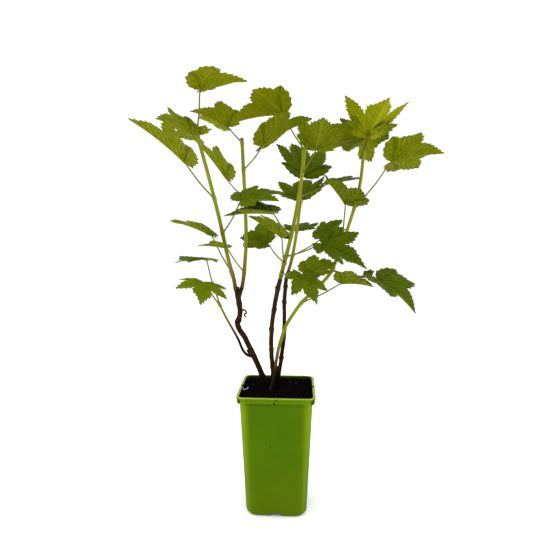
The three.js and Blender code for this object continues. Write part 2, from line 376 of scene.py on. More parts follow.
@dataclass(frozen=True)
class MoistPeat(Finish):
    """Damp peat mix: nearly black, matt, with brown flecks that catch a little light."""

    name: str = "moist_peat"
    roughness: float = 0.9
    specular: float = 0.02
    ior: float = 1.4
    shades: tuple[tuple[float, str], ...] = ((0.35, "050404"), (0.6, "0b0908"), (0.78, "1d140d"))
    fleck: float = 1.6
    detail: float = 4
    depth: float = 0.3

    def paint(self, tree: bpy.types.NodeTree, place: Socket) -> dict[str, Socket]:
        """Flecks the peat.

        Args:
            tree: The material's tree.
            place: Object coordinates in metres.

        Returns:
            Colour and normal.
        """
        flecks = patches(tree, place, self.fleck, self.detail)
        return {
            "Base Color": shades(tree, flecks, self.shades),
            "Normal": self.relief(tree, flecks, self.depth),
        }


@dataclass(frozen=True)
class DryChip(Finish):
    """Dry bark and straw in the peat: pale, matt and fibrous."""

    name: str = "dry_chip"
    roughness: float = 0.85
    specular: float = 0.2
    ior: float = 1.4
    shades: tuple[tuple[float, str], ...] = ((0.3, "33261a"), (0.7, "6e5c42"))
    fibre: float = 0.9
    depth: float = 0.15

    def paint(self, tree: bpy.types.NodeTree, place: Socket) -> dict[str, Socket]:
        """Streaks the chip.

        Args:
            tree: The material's tree.
            place: Object coordinates in metres.

        Returns:
            Colour and normal.
        """
        fibres = patches(tree, place, self.fibre)
        return {
            "Base Color": shades(tree, fibres, self.shades),
            "Normal": self.relief(tree, fibres, self.depth),
        }


@dataclass(frozen=True)
class PaleShaving(DryChip):
    """A curl of bleached bast on the peat: grey-white, matt and fibrous."""

    name: str = "pale_shaving"
    shades: tuple[tuple[float, str], ...] = ((0.3, "a8a49c"), (0.7, "c8c5c0"))


@dataclass(frozen=True)
class CaneBark(Finish):
    """Bark of an older currant cane: thin and brown, in fine strips drawn along the cane."""

    name: str = "currant_bark"
    roughness: float = 0.78
    specular: float = 0.02
    ior: float = 1.45
    shades: tuple[tuple[float, str], ...] = (
        (0.3, "140c06"), (0.45, "281a0d"), (0.58, "3b2814"), (0.75, "6a4e30"))
    strip: float = 1.5
    strip_pitch: float = 0.14
    detail: float = 4
    patch: float = 14.0
    patch_share: float = 0.4
    # Darker bark low on the cane, fading out upwards.
    darker_foot: str = "0a0604"
    darker_foot_height: tuple[float, float] = (194.0, 240.0)
    darker_foot_share: float = 0.95
    depth: float = 0.25

    def paint(self, tree: bpy.types.NodeTree, place: Socket) -> dict[str, Socket]:
        """Draws the strips, in patches that weather unevenly, and darkens the cane towards its foot.

        Args:
            tree: The material's tree.
            place: Object coordinates in metres.

        Returns:
            Colour and normal.
        """
        strips = streaks(tree, place, self.strip, self.strip_pitch, self.detail)
        weather = patches(tree, place, self.patch)
        summed = add_node(tree, "ShaderNodeMix", {"data_type": "FLOAT"}, {
            0: self.patch_share, 2: strips, 3: weather})
        dry = shades(tree, summed.outputs[0], self.shades)
        axes = add_node(tree, "ShaderNodeSeparateXYZ", inputs={"Vector": place}).outputs
        low, high = (height * MM for height in self.darker_foot_height)
        darker_foot = spread(tree, axes["Z"], (low, high), (self.darker_foot_share, 0.0))
        return {
            "Base Color": blend(tree, darker_foot, dry, linear(self.darker_foot)),
            "Normal": self.relief(tree, strips, self.depth),
        }


@dataclass(frozen=True)
class YoungStem(Finish):
    """Rind of this year's shoot: smooth and yellow-green, tan where it leaves the old wood."""

    name: str = "young_stem"
    roughness: float = 0.55
    specular: float = 0.1
    ior: float = 1.42
    ages: tuple[tuple[float, str], ...] = (
        (0.0, "070302"), (0.13, "1c0f06"), (0.24, "6f6018"), (0.36, "7f8416"), (0.98, "828719"),
        (1.0, "6f5c1c"))
    line: float = 0.8
    line_pitch: float = 0.08
    line_range: tuple[float, float] = (0.35, 0.65)
    dull: str = "4d4a14"
    dull_share: float = 0.08
    depth: float = 0.12

    def paint(self, tree: bpy.types.NodeTree, place: Socket) -> dict[str, Socket]:
        """Colours the shoot by its age, with fine lines drawn along it.

        Args:
            tree: The material's tree.
            place: Object coordinates in metres.

        Returns:
            Colour and normal.
        """
        age = add_node(tree, "ShaderNodeAttribute", {"attribute_name": "age"})
        lines = streaks(tree, place, self.line, self.line_pitch)
        base = shades(tree, age.outputs["Fac"], self.ages)
        dull = spread(tree, lines, self.line_range, (0.0, self.dull_share))
        return {
            "Base Color": blend(tree, dull, base, linear(self.dull)),
            "Normal": self.relief(tree, lines, self.depth),
        }


@dataclass(frozen=True)
class Stalk(YoungStem):
    """Rind of a leaf stalk: slim and green, flushed brown towards the blade."""

    name: str = "leaf_stalk"
    ages: tuple[tuple[float, str], ...] = ((0.0, "747a14"), (0.5, "6c6c1e"), (1.0, "78661f"))


@dataclass(frozen=True)
class LeafFace(Finish):
    """One face of a currant leaf: a soft satin skin, mottled and lined by its veins."""

    name: str = "leaf_face"
    roughness: float = 0.6
    specular: float = 0.03
    ior: float = 1.4
    shade: str = "4c6007"
    shadow: str = "3f5206"
    vein: str = "6d7c14"
    vein_share: float = 0.5
    side_vein: tuple[float, float] = (0.02, 0.13)
    side_share: float = 0.75
    main_vein: tuple[float, float] = (0.04, 0.13)
    groove: bool = True
    mottle: float = 12.0
    depth: float = 0.12

    def paint(self, tree: bpy.types.NodeTree, place: Socket) -> dict[str, Socket]:
        """Draws the veins by the blade's own map, over a mottled ground.

        Args:
            tree: The material's tree.
            place: Object coordinates in metres.

        Returns:
            Colour and normal.
        """
        ground = shades(tree, patches(tree, place, self.mottle), ((0.3, self.shadow), (0.7, self.shade)))
        chart = add_node(tree, "ShaderNodeUVMap", {"uv_map": Blade.chart})
        axes = add_node(tree, "ShaderNodeSeparateXYZ", inputs={"Vector": chart.outputs["UV"]})
        turn = add_node(tree, "ShaderNodeMath", {"operation": "PINGPONG"}, {0: axes.outputs["X"], 1: 0.5})
        side = spread(tree, turn.outputs["Value"], self.side_vein, (self.side_share, 0.0))
        main = spread(tree, axes.outputs["Y"], self.main_vein, (1.0, 0.0))
        veins = add_node(tree, "ShaderNodeMath", {"operation": "MAXIMUM"}, {0: side, 1: main})
        share = add_node(tree, "ShaderNodeMath", {"operation": "MULTIPLY"}, {
            0: veins.outputs["Value"], 1: self.vein_share})
        ends = (1.0, 0.0) if self.groove else (0.0, 1.0)
        height = spread(tree, veins.outputs["Value"], (0.0, 1.0), ends)
        return {
            "Base Color": blend(tree, share.outputs["Value"], ground, linear(self.vein)),
            "Normal": self.relief(tree, height, self.depth),
        }


class Tint(Enum):
    """How ripe a leaf is and how it is lit, as the name and the greens of its two faces and their
    shadows: darker copies painted as shade, paler copies as light.
    """

    # Painted light as well as ripeness: DEEP leaves are shaded copies and BRIGHT leaves lit copies of the
    # same greens.
    DEEP = ("deep", "475600", "394700", "606b00", "515b00")
    MID = ("mid", "526200", "435200", "6a7200", "5c6400")
    BRIGHT = ("bright", "677502", "596801", "858a03", "787e02")

    @property
    def faces(self) -> tuple[LeafFace, LeafFace]:
        """Finishes of the upper face and the underside."""
        name, upper, upper_shadow, under, under_shadow = self.value
        return (
            LeafFace(name=f"leaf_upper_{name}", shade=upper, shadow=upper_shadow, vein="71801a",
                     vein_share=0.35),
            LeafFace(name=f"leaf_underside_{name}", shade=under, shadow=under_shadow, vein="9fa31c",
                     vein_share=0.4, groove=False, roughness=0.65, specular=0.05),
        )


@dataclass
class MeshParts:
    """Points and faces that add up to one mesh, in millimetres."""

    points: list[np.ndarray] = field(default_factory=list)
    faces: list[Sequence[int]] = field(default_factory=list)
    slots: list[int] = field(default_factory=list)
    chart: list[np.ndarray] = field(default_factory=list)
    ages: list[np.ndarray] = field(default_factory=list)
    count: int = 0

    def add(self, points: np.ndarray, faces: Sequence[Sequence[int]], slot: int = 0,
            chart: np.ndarray | None = None, age: float | np.ndarray = 0.5) -> None:
        """Adds points and faces between them.

        Args:
            points: Rows of x, y and z.
            faces: Corners of each face, counted from the first of these points.
            slot: Material slot of the faces.
            chart: Map coordinates of each point.
            age: Age of the points, from 0 at a limb's foot to 1 at its tip.
        """
        self.points.append(points)
        self.faces.extend([corner + self.count for corner in face] for face in faces)
        self.slots.extend([slot] * len(faces))
        flat = np.zeros((len(points), 2)) if chart is None else chart
        self.chart.append(flat)
        self.ages.append(np.broadcast_to(age, len(points)))
        self.count += len(points)

    def add_grid(self, grid: np.ndarray, slot: int = 0, chart: np.ndarray | None = None,
                 flip: bool = False, wrap: bool = False, age: float | np.ndarray = 0.5) -> None:
        """Adds a sheet of four-sided faces.

        Args:
            grid: Points in rows and columns.
            slot: Material slot of the faces.
            chart: Map coordinates of each point.
            flip: Whether the faces point the other way.
            wrap: Whether the last column joins the first.
            age: Age of the points.
        """
        rows, columns = grid.shape[:2]
        numbers = np.arange(rows * columns).reshape(rows, columns)
        if wrap:
            numbers = np.column_stack((numbers, numbers[:, 0]))
        quads = np.stack((numbers[:-1, :-1], numbers[1:, :-1], numbers[1:, 1:], numbers[:-1, 1:]), -1)
        quads = quads.reshape(-1, 4)
        if flip:
            quads = quads[:, ::-1]
        flat_chart = None if chart is None else chart.reshape(-1, 2)
        flat_age = age if np.isscalar(age) else np.repeat(age, columns)
        self.add(grid.reshape(-1, 3), quads.tolist(), slot, flat_chart, flat_age)

    def add_loft(self, rings: np.ndarray, age: float | np.ndarray = 0.5) -> None:
        """Adds a closed skin over stacked rings, each counter-clockwise seen from its tip.

        Args:
            rings: Points in rings.
            age: Age of each ring.
        """
        count = rings.shape[1]
        first = self.count
        self.add_grid(rings, flip=True, wrap=True, age=age)
        last = first + (len(rings) - 1) * count
        self.faces.append([first + i for i in range(count - 1, -1, -1)])
        self.faces.append([last + i for i in range(count)])
        self.slots.extend((0, 0))

    def build(self, name: str, finishes: Sequence[Finish], weld: float = 0.0,
              sharp: float = 50.0) -> bpy.types.Object:
        """Makes the mesh and its object at the origin.

        Args:
            name: Name of the object.
            finishes: Finishes in the order of the slots.
            weld: Distance in millimetres within which points are merged, if any.
            sharp: Angle in degrees past which an edge isn't smoothed.

        Returns:
            The object.
        """
        mesh = bpy.data.meshes.new(name)
        mesh.from_pydata(np.concatenate(self.points) * MM, [], self.faces)
        for finish in finishes:
            mesh.materials.append(finish.make())
        mesh.polygons.foreach_set("material_index", self.slots)
        age = mesh.attributes.new("age", "FLOAT", "POINT")
        age.data.foreach_set("value", np.concatenate(self.ages).astype(np.float32))
        corners = np.empty(len(mesh.loops), np.int32)
        mesh.loops.foreach_get("vertex_index", corners)
        chart = mesh.uv_layers.new(name=Blade.chart)
        chart.data.foreach_set("uv", np.concatenate(self.chart)[corners].astype(np.float32).ravel())
        if weld:
            shape = bmesh.new()
            shape.from_mesh(mesh)
            bmesh.ops.remove_doubles(shape, verts=shape.verts, dist=weld * MM)
            shape.to_mesh(mesh)
            shape.free()
        return finished(name, mesh, sharp)


def finished(name: str, mesh: bpy.types.Mesh, sharp: float = 50.0) -> bpy.types.Object:
    """Smooths a mesh and puts it in the scene.

    Args:
        name: Name of the object and of its mesh.
        mesh: The mesh, in metres.
        sharp: Angle in degrees past which an edge isn't smoothed.

    Returns:
        The object, at the origin.
    """
    mesh.name = name
    mesh.shade_smooth()
    mesh.set_sharp_from_angle(angle=math.radians(sharp))
    piece = bpy.data.objects.new(name, mesh)
    bpy.context.scene.collection.objects.link(piece)
    return piece


def settle(piece: bpy.types.Object, slot: str, *nodes: str) -> None:
    """Fixes a piece to the body and hides the nodes that it stands for.

    Args:
        piece: The finished piece.
        slot: Material slot of the record; not used.
        nodes: Nodes of the frame that it replaces.
    """
    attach(piece, BODY)
    if nodes:
        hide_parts(*nodes)
    log.info("%s: %d faces", piece.name, len(piece.data.polygons))


class Route:
    """A smooth line through a few points, drawn as the solids draw it."""

    steps: int = 60

    def __init__(self, points: Sequence[Point]) -> None:
        """Draws the line.

        Args:
            points: The points in millimetres, from foot to tip.
        """
        knots = np.array(points, float)
        knots = np.vstack((2 * knots[0] - knots[1], knots, 2 * knots[-1] - knots[-2]))
        shares = np.linspace(0, 1, self.steps, endpoint=False)[:, None]
        spans = [self.span(knots[i:i + 4], shares) for i in range(len(knots) - 3)]
        self.points = np.vstack((*spans, knots[-2]))
        gaps = np.linalg.norm(np.diff(self.points, axis=0), axis=1)
        self.travel = np.concatenate(([0.0], np.cumsum(gaps)))

    @staticmethod
    def span(knots: np.ndarray, share: np.ndarray) -> np.ndarray:
        """Draws the centripetal span between the middle two of four knots.

        Args:
            knots: Four points.
            share: Places along the span, from 0 to 1.

        Returns:
            The points of the span.
        """
        before, here, after = (
            max(np.linalg.norm(knots[i + 1] - knots[i]), TINY) ** 0.5 for i in range(3))
        a, b, c, d = knots
        leave = here * ((b - a) / before - (c - a) / (before + here) + (c - b) / here)
        arrive = here * ((c - b) / here - (d - b) / (here + after) + (d - c) / after)
        square, cube = share ** 2, share ** 3
        return (b * (2 * cube - 3 * square + 1) + c * (3 * square - 2 * cube)
                + leave * (cube - 2 * square + share) + arrive * (cube - square))

    @property
    def length(self) -> float:
        """Length of the line in millimetres."""
        return float(self.travel[-1])

    def at(self, shares: np.ndarray) -> np.ndarray:
        """Points at shares of the length.

        Args:
            shares: Shares from 0 at the foot to 1 at the tip.

        Returns:
            A row of x, y and z for each.
        """
        places = np.asarray(shares) * self.length
        return np.column_stack([np.interp(places, self.travel, self.points[:, i]) for i in range(3)])

    def share_at(self, height: float) -> float:
        """Share of the length where the rising line reaches a height."""
        return float(np.interp(height, self.points[:, 2], self.travel)) / self.length

    def at_height(self, height: float) -> np.ndarray:
        """Point where the line reaches a height."""
        return self.at(np.array([self.share_at(height)]))[0]


def carried_axes(points: np.ndarray) -> tuple[np.ndarray, np.ndarray, np.ndarray]:
    """Carries a pair of cross axes along a line without twisting them.

    Args:
        points: The line.

    Returns:
        Tangents, first cross axes and second cross axes.
    """
    tangents = np.gradient(points, axis=0)
    tangents /= np.linalg.norm(tangents, axis=1)[:, None]
    side = np.cross(tangents[0], (0.0, 1.0, 0.1))
    sides = []
    for tangent in tangents:
        side = side - tangent * side.dot(tangent)
        side = side / np.linalg.norm(side)
        sides.append(side)
    first = np.array(sides)
    return tangents, first, np.cross(tangents, first)


def tube(points: np.ndarray, radii: np.ndarray) -> np.ndarray:
    """Rings round a line.

    Args:
        points: The line.
        radii: Radius of each ring, or of each point of each ring.

    Returns:
        Points in rings, counter-clockwise seen from the tip.
    """
    radii = np.atleast_2d(radii.T).T
    sides = radii.shape[1]
    turns = np.linspace(0, 2 * math.pi, sides, endpoint=False)
    _, first, second = carried_axes(points)
    cosines, sines = np.cos(turns)[None, :, None], np.sin(turns)[None, :, None]
    around = first[:, None] * cosines + second[:, None] * sines
    return points[:, None] + around * radii[:, :, None]


@dataclass
class TreeOfNodes:
    """A Geometry Nodes tree with named inputs, run once on a host mesh."""

    name: str
    sockets: tuple[tuple[str, str], ...]

    def start(self) -> tuple[bpy.types.NodeTree, bpy.types.Node]:
        """Makes the empty tree with its sockets.

        Returns:
            The tree and its input node.
        """
        tree = bpy.data.node_groups.new(self.name, "GeometryNodeTree")
        tree.interface.new_socket("Geometry", in_out="INPUT", socket_type="NodeSocketGeometry")
        for name, kind in self.sockets:
            tree.interface.new_socket(name, in_out="INPUT", socket_type=kind)
        tree.interface.new_socket("Geometry", in_out="OUTPUT", socket_type="NodeSocketGeometry")
        return tree, add_node(tree, "NodeGroupInput")

    def end(self, tree: bpy.types.NodeTree, shape: Socket, finish: Socket) -> None:
        """Ends the tree in real, dressed geometry.

        Args:
            tree: The tree.
            shape: Its geometry.
            finish: Its material.
        """
        real = add_node(tree, "GeometryNodeRealizeInstances", inputs={"Geometry": shape})
        dressed = add_node(tree, "GeometryNodeSetMaterial", inputs={
            "Geometry": real.outputs["Geometry"], "Material": finish})
        add_node(tree, "NodeGroupOutput", inputs={"Geometry": dressed.outputs["Geometry"]})

    def run(self, tree: bpy.types.NodeTree, host: bpy.types.Object, values: dict) -> bpy.types.Mesh:
        """Runs the tree on a host, and gives a plain mesh.

        Args:
            tree: The tree.
            host: The object that it works on, which is removed.
            values: Value of each input by name.

        Returns:
            The mesh.
        """
        modifier = host.modifiers.new(self.name, "NODES")
        modifier.node_group = tree
        for item in tree.interface.items_tree:
            if item.item_type == "SOCKET" and item.in_out == "INPUT" and item.name in values:
                modifier[item.identifier] = values[item.name]
        graph = bpy.context.evaluated_depsgraph_get()
        mesh = bpy.data.meshes.new_from_object(host.evaluated_get(graph))
        host.modifiers.remove(modifier)
        bpy.data.objects.remove(host)
        return mesh


@dataclass
class Scatter(TreeOfNodes):
    """Strews small shapes over a surface."""

    name: str = "strewn_bits"
    sockets: tuple[tuple[str, str], ...] = (
        ("Bits", "NodeSocketCollection"), ("Density", "NodeSocketFloat"), ("Smallest", "NodeSocketFloat"),
        ("Largest", "NodeSocketFloat"), ("Seed", "NodeSocketInt"), ("Finish", "NodeSocketMaterial"))

    def strew(self, name: str, host: bpy.types.Object, **values: object) -> bpy.types.Object:
        """Strews bits over a host, and gives them as one piece.

        Args:
            name: Name of the piece.
            host: The surface, which is removed.
            values: Value of each input by name.

        Returns:
            The piece.
        """
        tree, start = self.start()
        given = start.outputs
        points = add_node(tree, "GeometryNodeDistributePointsOnFaces", inputs={
            "Mesh": given["Geometry"], "Density": given["Density"], "Seed": given["Seed"]})
        bits = add_node(tree, "GeometryNodeCollectionInfo", inputs={
            "Collection": given["Bits"], "Separate Children": True, "Reset Children": True})
        sizes = add_node(tree, "FunctionNodeRandomValue", {"data_type": "FLOAT"}, {
            2: given["Smallest"], 3: given["Largest"], "Seed": given["Seed"]})
        turns = add_node(tree, "FunctionNodeRandomValue", {"data_type": "FLOAT_VECTOR"}, {
            0: (0.0, 0.0, 0.0), 1: (2 * math.pi,) * 3, "Seed": given["Seed"]})
        placed = add_node(tree, "GeometryNodeInstanceOnPoints", inputs={
            "Points": points.outputs["Points"], "Instance": bits.outputs["Instances"],
            "Pick Instance": True, "Rotation": turns.outputs[0], "Scale": sizes.outputs[1]})
        self.end(tree, placed.outputs["Instances"], given["Finish"])
        return finished(name, self.run(tree, host, values), 30)


@dataclass
class RoundStem(TreeOfNodes):
    """Draws a round stem along each line of a host mesh, as thick as its points say."""

    name: str = "round_stem"
    sockets: tuple[tuple[str, str], ...] = (("Sides", "NodeSocketInt"), ("Finish", "NodeSocketMaterial"))

    def grow(self, name: str, lines: Sequence[tuple[np.ndarray, np.ndarray, np.ndarray]], sides: int,
             finish: Finish) -> bpy.types.Object:
        """Grows stems along lines, and gives them as one piece.

        Args:
            name: Name of the piece.
            lines: Points in millimetres of each line, with a radius and an age at each.
            sides: Sides of a stem's section.
            finish: Its finish.

        Returns:
            The piece.
        """
        mesh = bpy.data.meshes.new(name)
        starts = np.cumsum([0] + [len(points) for points, _, _ in lines])
        edges = [(i, i + 1) for a, b in zip(starts, starts[1:]) for i in range(a, b - 1)]
        points, radii, ages = (np.concatenate(column) for column in zip(*lines))
        mesh.from_pydata(points * MM, edges, [])
        values = {"thickness": radii * MM, "age": ages}
        for key, numbers in values.items():
            told = mesh.attributes.new(key, "FLOAT", "POINT")
            told.data.foreach_set("value", numbers.astype(np.float32))
        host = bpy.data.objects.new(name, mesh)
        bpy.context.scene.collection.objects.link(host)
        tree, start = self.start()
        given = start.outputs
        thickness = add_node(tree, "GeometryNodeInputNamedAttribute", {"data_type": "FLOAT"}, {
            "Name": "thickness"})
        line = add_node(tree, "GeometryNodeMeshToCurve", inputs={"Mesh": given["Geometry"]})
        section = add_node(tree, "GeometryNodeCurvePrimitiveCircle", inputs={
            "Resolution": given["Sides"], "Radius": 1.0})
        skin = add_node(tree, "GeometryNodeCurveToMesh", inputs={
            "Curve": line.outputs["Curve"], "Profile Curve": section.outputs["Curve"],
            "Scale": thickness.outputs["Attribute"], "Fill Caps": True})
        self.end(tree, skin.outputs["Mesh"], given["Finish"])
        return finished(name, self.run(tree, host, {"Sides": sides, "Finish": finish.make()}))


@dataclass
class NurseryPot:
    """Square pot: tapering walls, a collar round the mouth, and notches and drains in the foot."""

    height: float = 192
    foot_width: float = 96
    shoulder_width: float = 113
    collar_width: float = 120
    collar_height: float = 10
    wall: float = 1.6
    floor: float = 2.4
    foot_corner: float = 20
    shoulder_corner: float = 15
    mouth_corner: float = 12
    chamfer: float = 5
    notch: Point = (24, 17, 13)
    drain_radius: float = 4.5
    drain_offset: float = 22
    drain_sides: int = 20
    hanger: Point = (8, 9, 9)
    bead: float = 1.2
    lip: float = 2.8
    round_over: float = 0.8
    bow: float = 0.5
    corner_steps: int = 10
    side_steps: int = 14
    foot_steps: int = 7
    wall_steps: int = 13
    inside_step: float = 10
    gate: Point = (-8, 0, 114)
    gate_radius: float = 1.5
    gate_rings: tuple[tuple[float, float], ...] = ((0.8, 1.0), (-0.1, 0.9), (-0.35, 0.6))
    gate_sides: int = 16

    def ring(self, width: float, corner: float, z: float, bow: float = 0.0) -> np.ndarray:
        """Rounded square, counter-clockwise seen from above.

        Args:
            width: Width across the flats.
            corner: Radius of the corners.
            z: Height.
            bow: How far the middle of a side stands proud.

        Returns:
            Its points.
        """
        reach = width / 2
        turns = np.linspace(0, math.pi / 2, self.corner_steps + 1)
        arc = np.column_stack((np.cos(turns), np.sin(turns))) * corner + (reach - corner)
        along = np.linspace(1, -1, self.side_steps + 1)[1:-1]
        side = np.column_stack((along * (reach - corner), reach + bow * (1 - along ** 2)))
        quarter = np.vstack((arc, side))
        points = []
        for _ in range(4):
            points.append(quarter)
            quarter = np.column_stack((-quarter[:, 1], quarter[:, 0]))
        flat = np.vstack(points)
        return np.column_stack((flat, np.full(len(flat), z)))

    def body_at(self, z: float) -> tuple[float, float]:
        """Width and corner of the tapering body at a height."""
        share = z / (self.height - self.collar_height)
        return (between((self.foot_width, self.shoulder_width), share),
                between((self.foot_corner, self.shoulder_corner), share))

    def inside_at(self, z: float) -> tuple[float, float]:
        """Width and corner of the body's inside at a height."""
        width, corner = self.body_at(z)
        return width - 2 * self.wall, corner - self.wall

    def skin(self) -> np.ndarray:
        """Rings of the whole shell, from under the foot, up and over the lip, and down to the floor."""
        shoulder = self.height - self.collar_height
        step, top, bead = self.round_over, self.height, self.bead
        rings = []
        for turn in np.linspace(0, math.pi / 2, self.foot_steps):
            inset, rise = self.chamfer * (1 - math.sin(turn)), self.chamfer * (1 - math.cos(turn))
            width, corner = self.body_at(rise)
            rings.append(self.ring(width - 2 * inset, corner - inset, rise))
        for z in np.linspace(self.chamfer, shoulder - step, self.wall_steps)[1:]:
            share = (z - self.chamfer) / (shoulder - self.chamfer)
            rings.append(self.ring(*self.body_at(z), z, self.bow * math.sin(math.pi * share)))
        corner = self.mouth_corner
        collar = self.collar_width
        inner = self.shoulder_width - 2 * self.wall
        rings += [
            self.ring(self.shoulder_width + step, self.shoulder_corner, shoulder),
            self.ring(collar - 2 * step, corner, shoulder),
            self.ring(collar - 0.5 * step, corner, shoulder + 0.3 * step),
            self.ring(collar, corner, shoulder + step),
            self.ring(collar, corner, top - 4 * step),
            self.ring(collar + 2 * bead, corner + bead, top - 3 * step),
            self.ring(collar + 2 * bead, corner + bead, top - step),
            self.ring(collar + 2 * bead - 0.6 * step, corner + bead - 0.3 * step, top - 0.3 * step),
            self.ring(collar + 2 * bead - 1.4 * step, corner + bead - 0.7 * step, top),
            self.ring(collar - 2 * self.lip, corner - self.lip, top),
            self.ring(collar - 2 * self.lip - step, corner - self.lip, top - step),
            self.ring(collar - 2 * self.lip, corner - self.lip, top - 2 * step),
            self.ring(collar - 2 * self.wall - step, corner - self.wall, top - 3 * step),
            self.ring(collar - 2 * self.wall - step, corner - self.wall, shoulder + self.wall + step),
            self.ring(collar - 2 * self.wall - 3 * step, corner - self.wall, shoulder + self.wall),
            self.ring(inner, self.shoulder_corner - self.wall, shoulder + self.wall - step),
        ]
        for z in (shoulder - self.inside_step, shoulder / 2, self.floor + self.chamfer):
            rings.append(self.ring(*self.inside_at(z), z))
        width, corner = self.inside_at(self.floor)
        rings.append(self.ring(width - 2 * self.chamfer, corner - self.chamfer, self.floor))
        return np.array(rings)

    def cutter(self) -> bpy.types.Object:
        """Everything that is cut out of the shell, as one mesh: notches, drains and hanger slots."""
        shape = bmesh.new()
        for quarter in range(4):
            box = bmesh.ops.create_cube(shape, size=1)["verts"]
            bmesh.ops.scale(shape, vec=Vector(self.notch) * MM, verts=box)
            away = Vector((self.foot_width / 2, 0, 0)) * MM
            bmesh.ops.translate(shape, vec=away, verts=box)
            hole = bmesh.ops.create_cone(
                shape, cap_ends=True, segments=self.drain_sides, radius1=self.drain_radius * MM,
                radius2=self.drain_radius * MM, depth=self.floor * 4 * MM)["verts"]
            corner = Vector((self.drain_offset, self.drain_offset, 0)) * MM
            bmesh.ops.translate(shape, vec=corner, verts=hole)
            turn = Matrix.Rotation(quarter * math.pi / 2, 3, "Z")
            bmesh.ops.rotate(shape, cent=(0, 0, 0), verts=box + hole, matrix=turn)
        for side in (-1, 1):
            slot = bmesh.ops.create_cube(shape, size=1)["verts"]
            bmesh.ops.scale(shape, vec=Vector(self.hanger) * MM, verts=slot)
            away = Vector((side * self.collar_width / 2, 0, self.height)) * MM
            bmesh.ops.translate(shape, vec=away, verts=slot)
        mesh = bpy.data.meshes.new("pot_cutter")
        shape.to_mesh(mesh)
        shape.free()
        cutter = bpy.data.objects.new("pot_cutter", mesh)
        bpy.context.scene.collection.objects.link(cutter)
        return cutter

    def gate_mark(self, parts: MeshParts) -> None:
        """Adds the low stub that the moulding gate leaves on the front wall."""
        x, _, z = self.gate
        front = -self.body_at(z)[0] / 2 - self.bow
        line = np.array([(x, front + step, z) for step, _ in self.gate_rings])
        shares = [share for _, share in self.gate_rings]
        parts.add_loft(tube(line, np.outer(shares, np.ones(self.gate_sides)) * self.gate_radius))

    def build(self) -> None:
        """Makes the pot."""
        parts = MeshParts()
        parts.add_loft(self.skin())
        shell = parts.build("pot_shell", [MouldedPolypropylene()])
        cutter = self.cutter()
        cut = shell.modifiers.new("cut", "BOOLEAN")
        cut.operation = "DIFFERENCE"
        cut.solver = "EXACT"
        cut.object = cutter
        graph = bpy.context.evaluated_depsgraph_get()
        mesh = bpy.data.meshes.new_from_object(shell.evaluated_get(graph))
        bpy.data.objects.remove(shell)
        bpy.data.objects.remove(cutter)
        settle(finished("pot_shell", mesh, 35), "pot_plastic", "pot")
        mark = MeshParts()
        self.gate_mark(mark)
        settle(mark.build("pot_gate_mark", [ShadedGateScar()]), "pot_plastic")


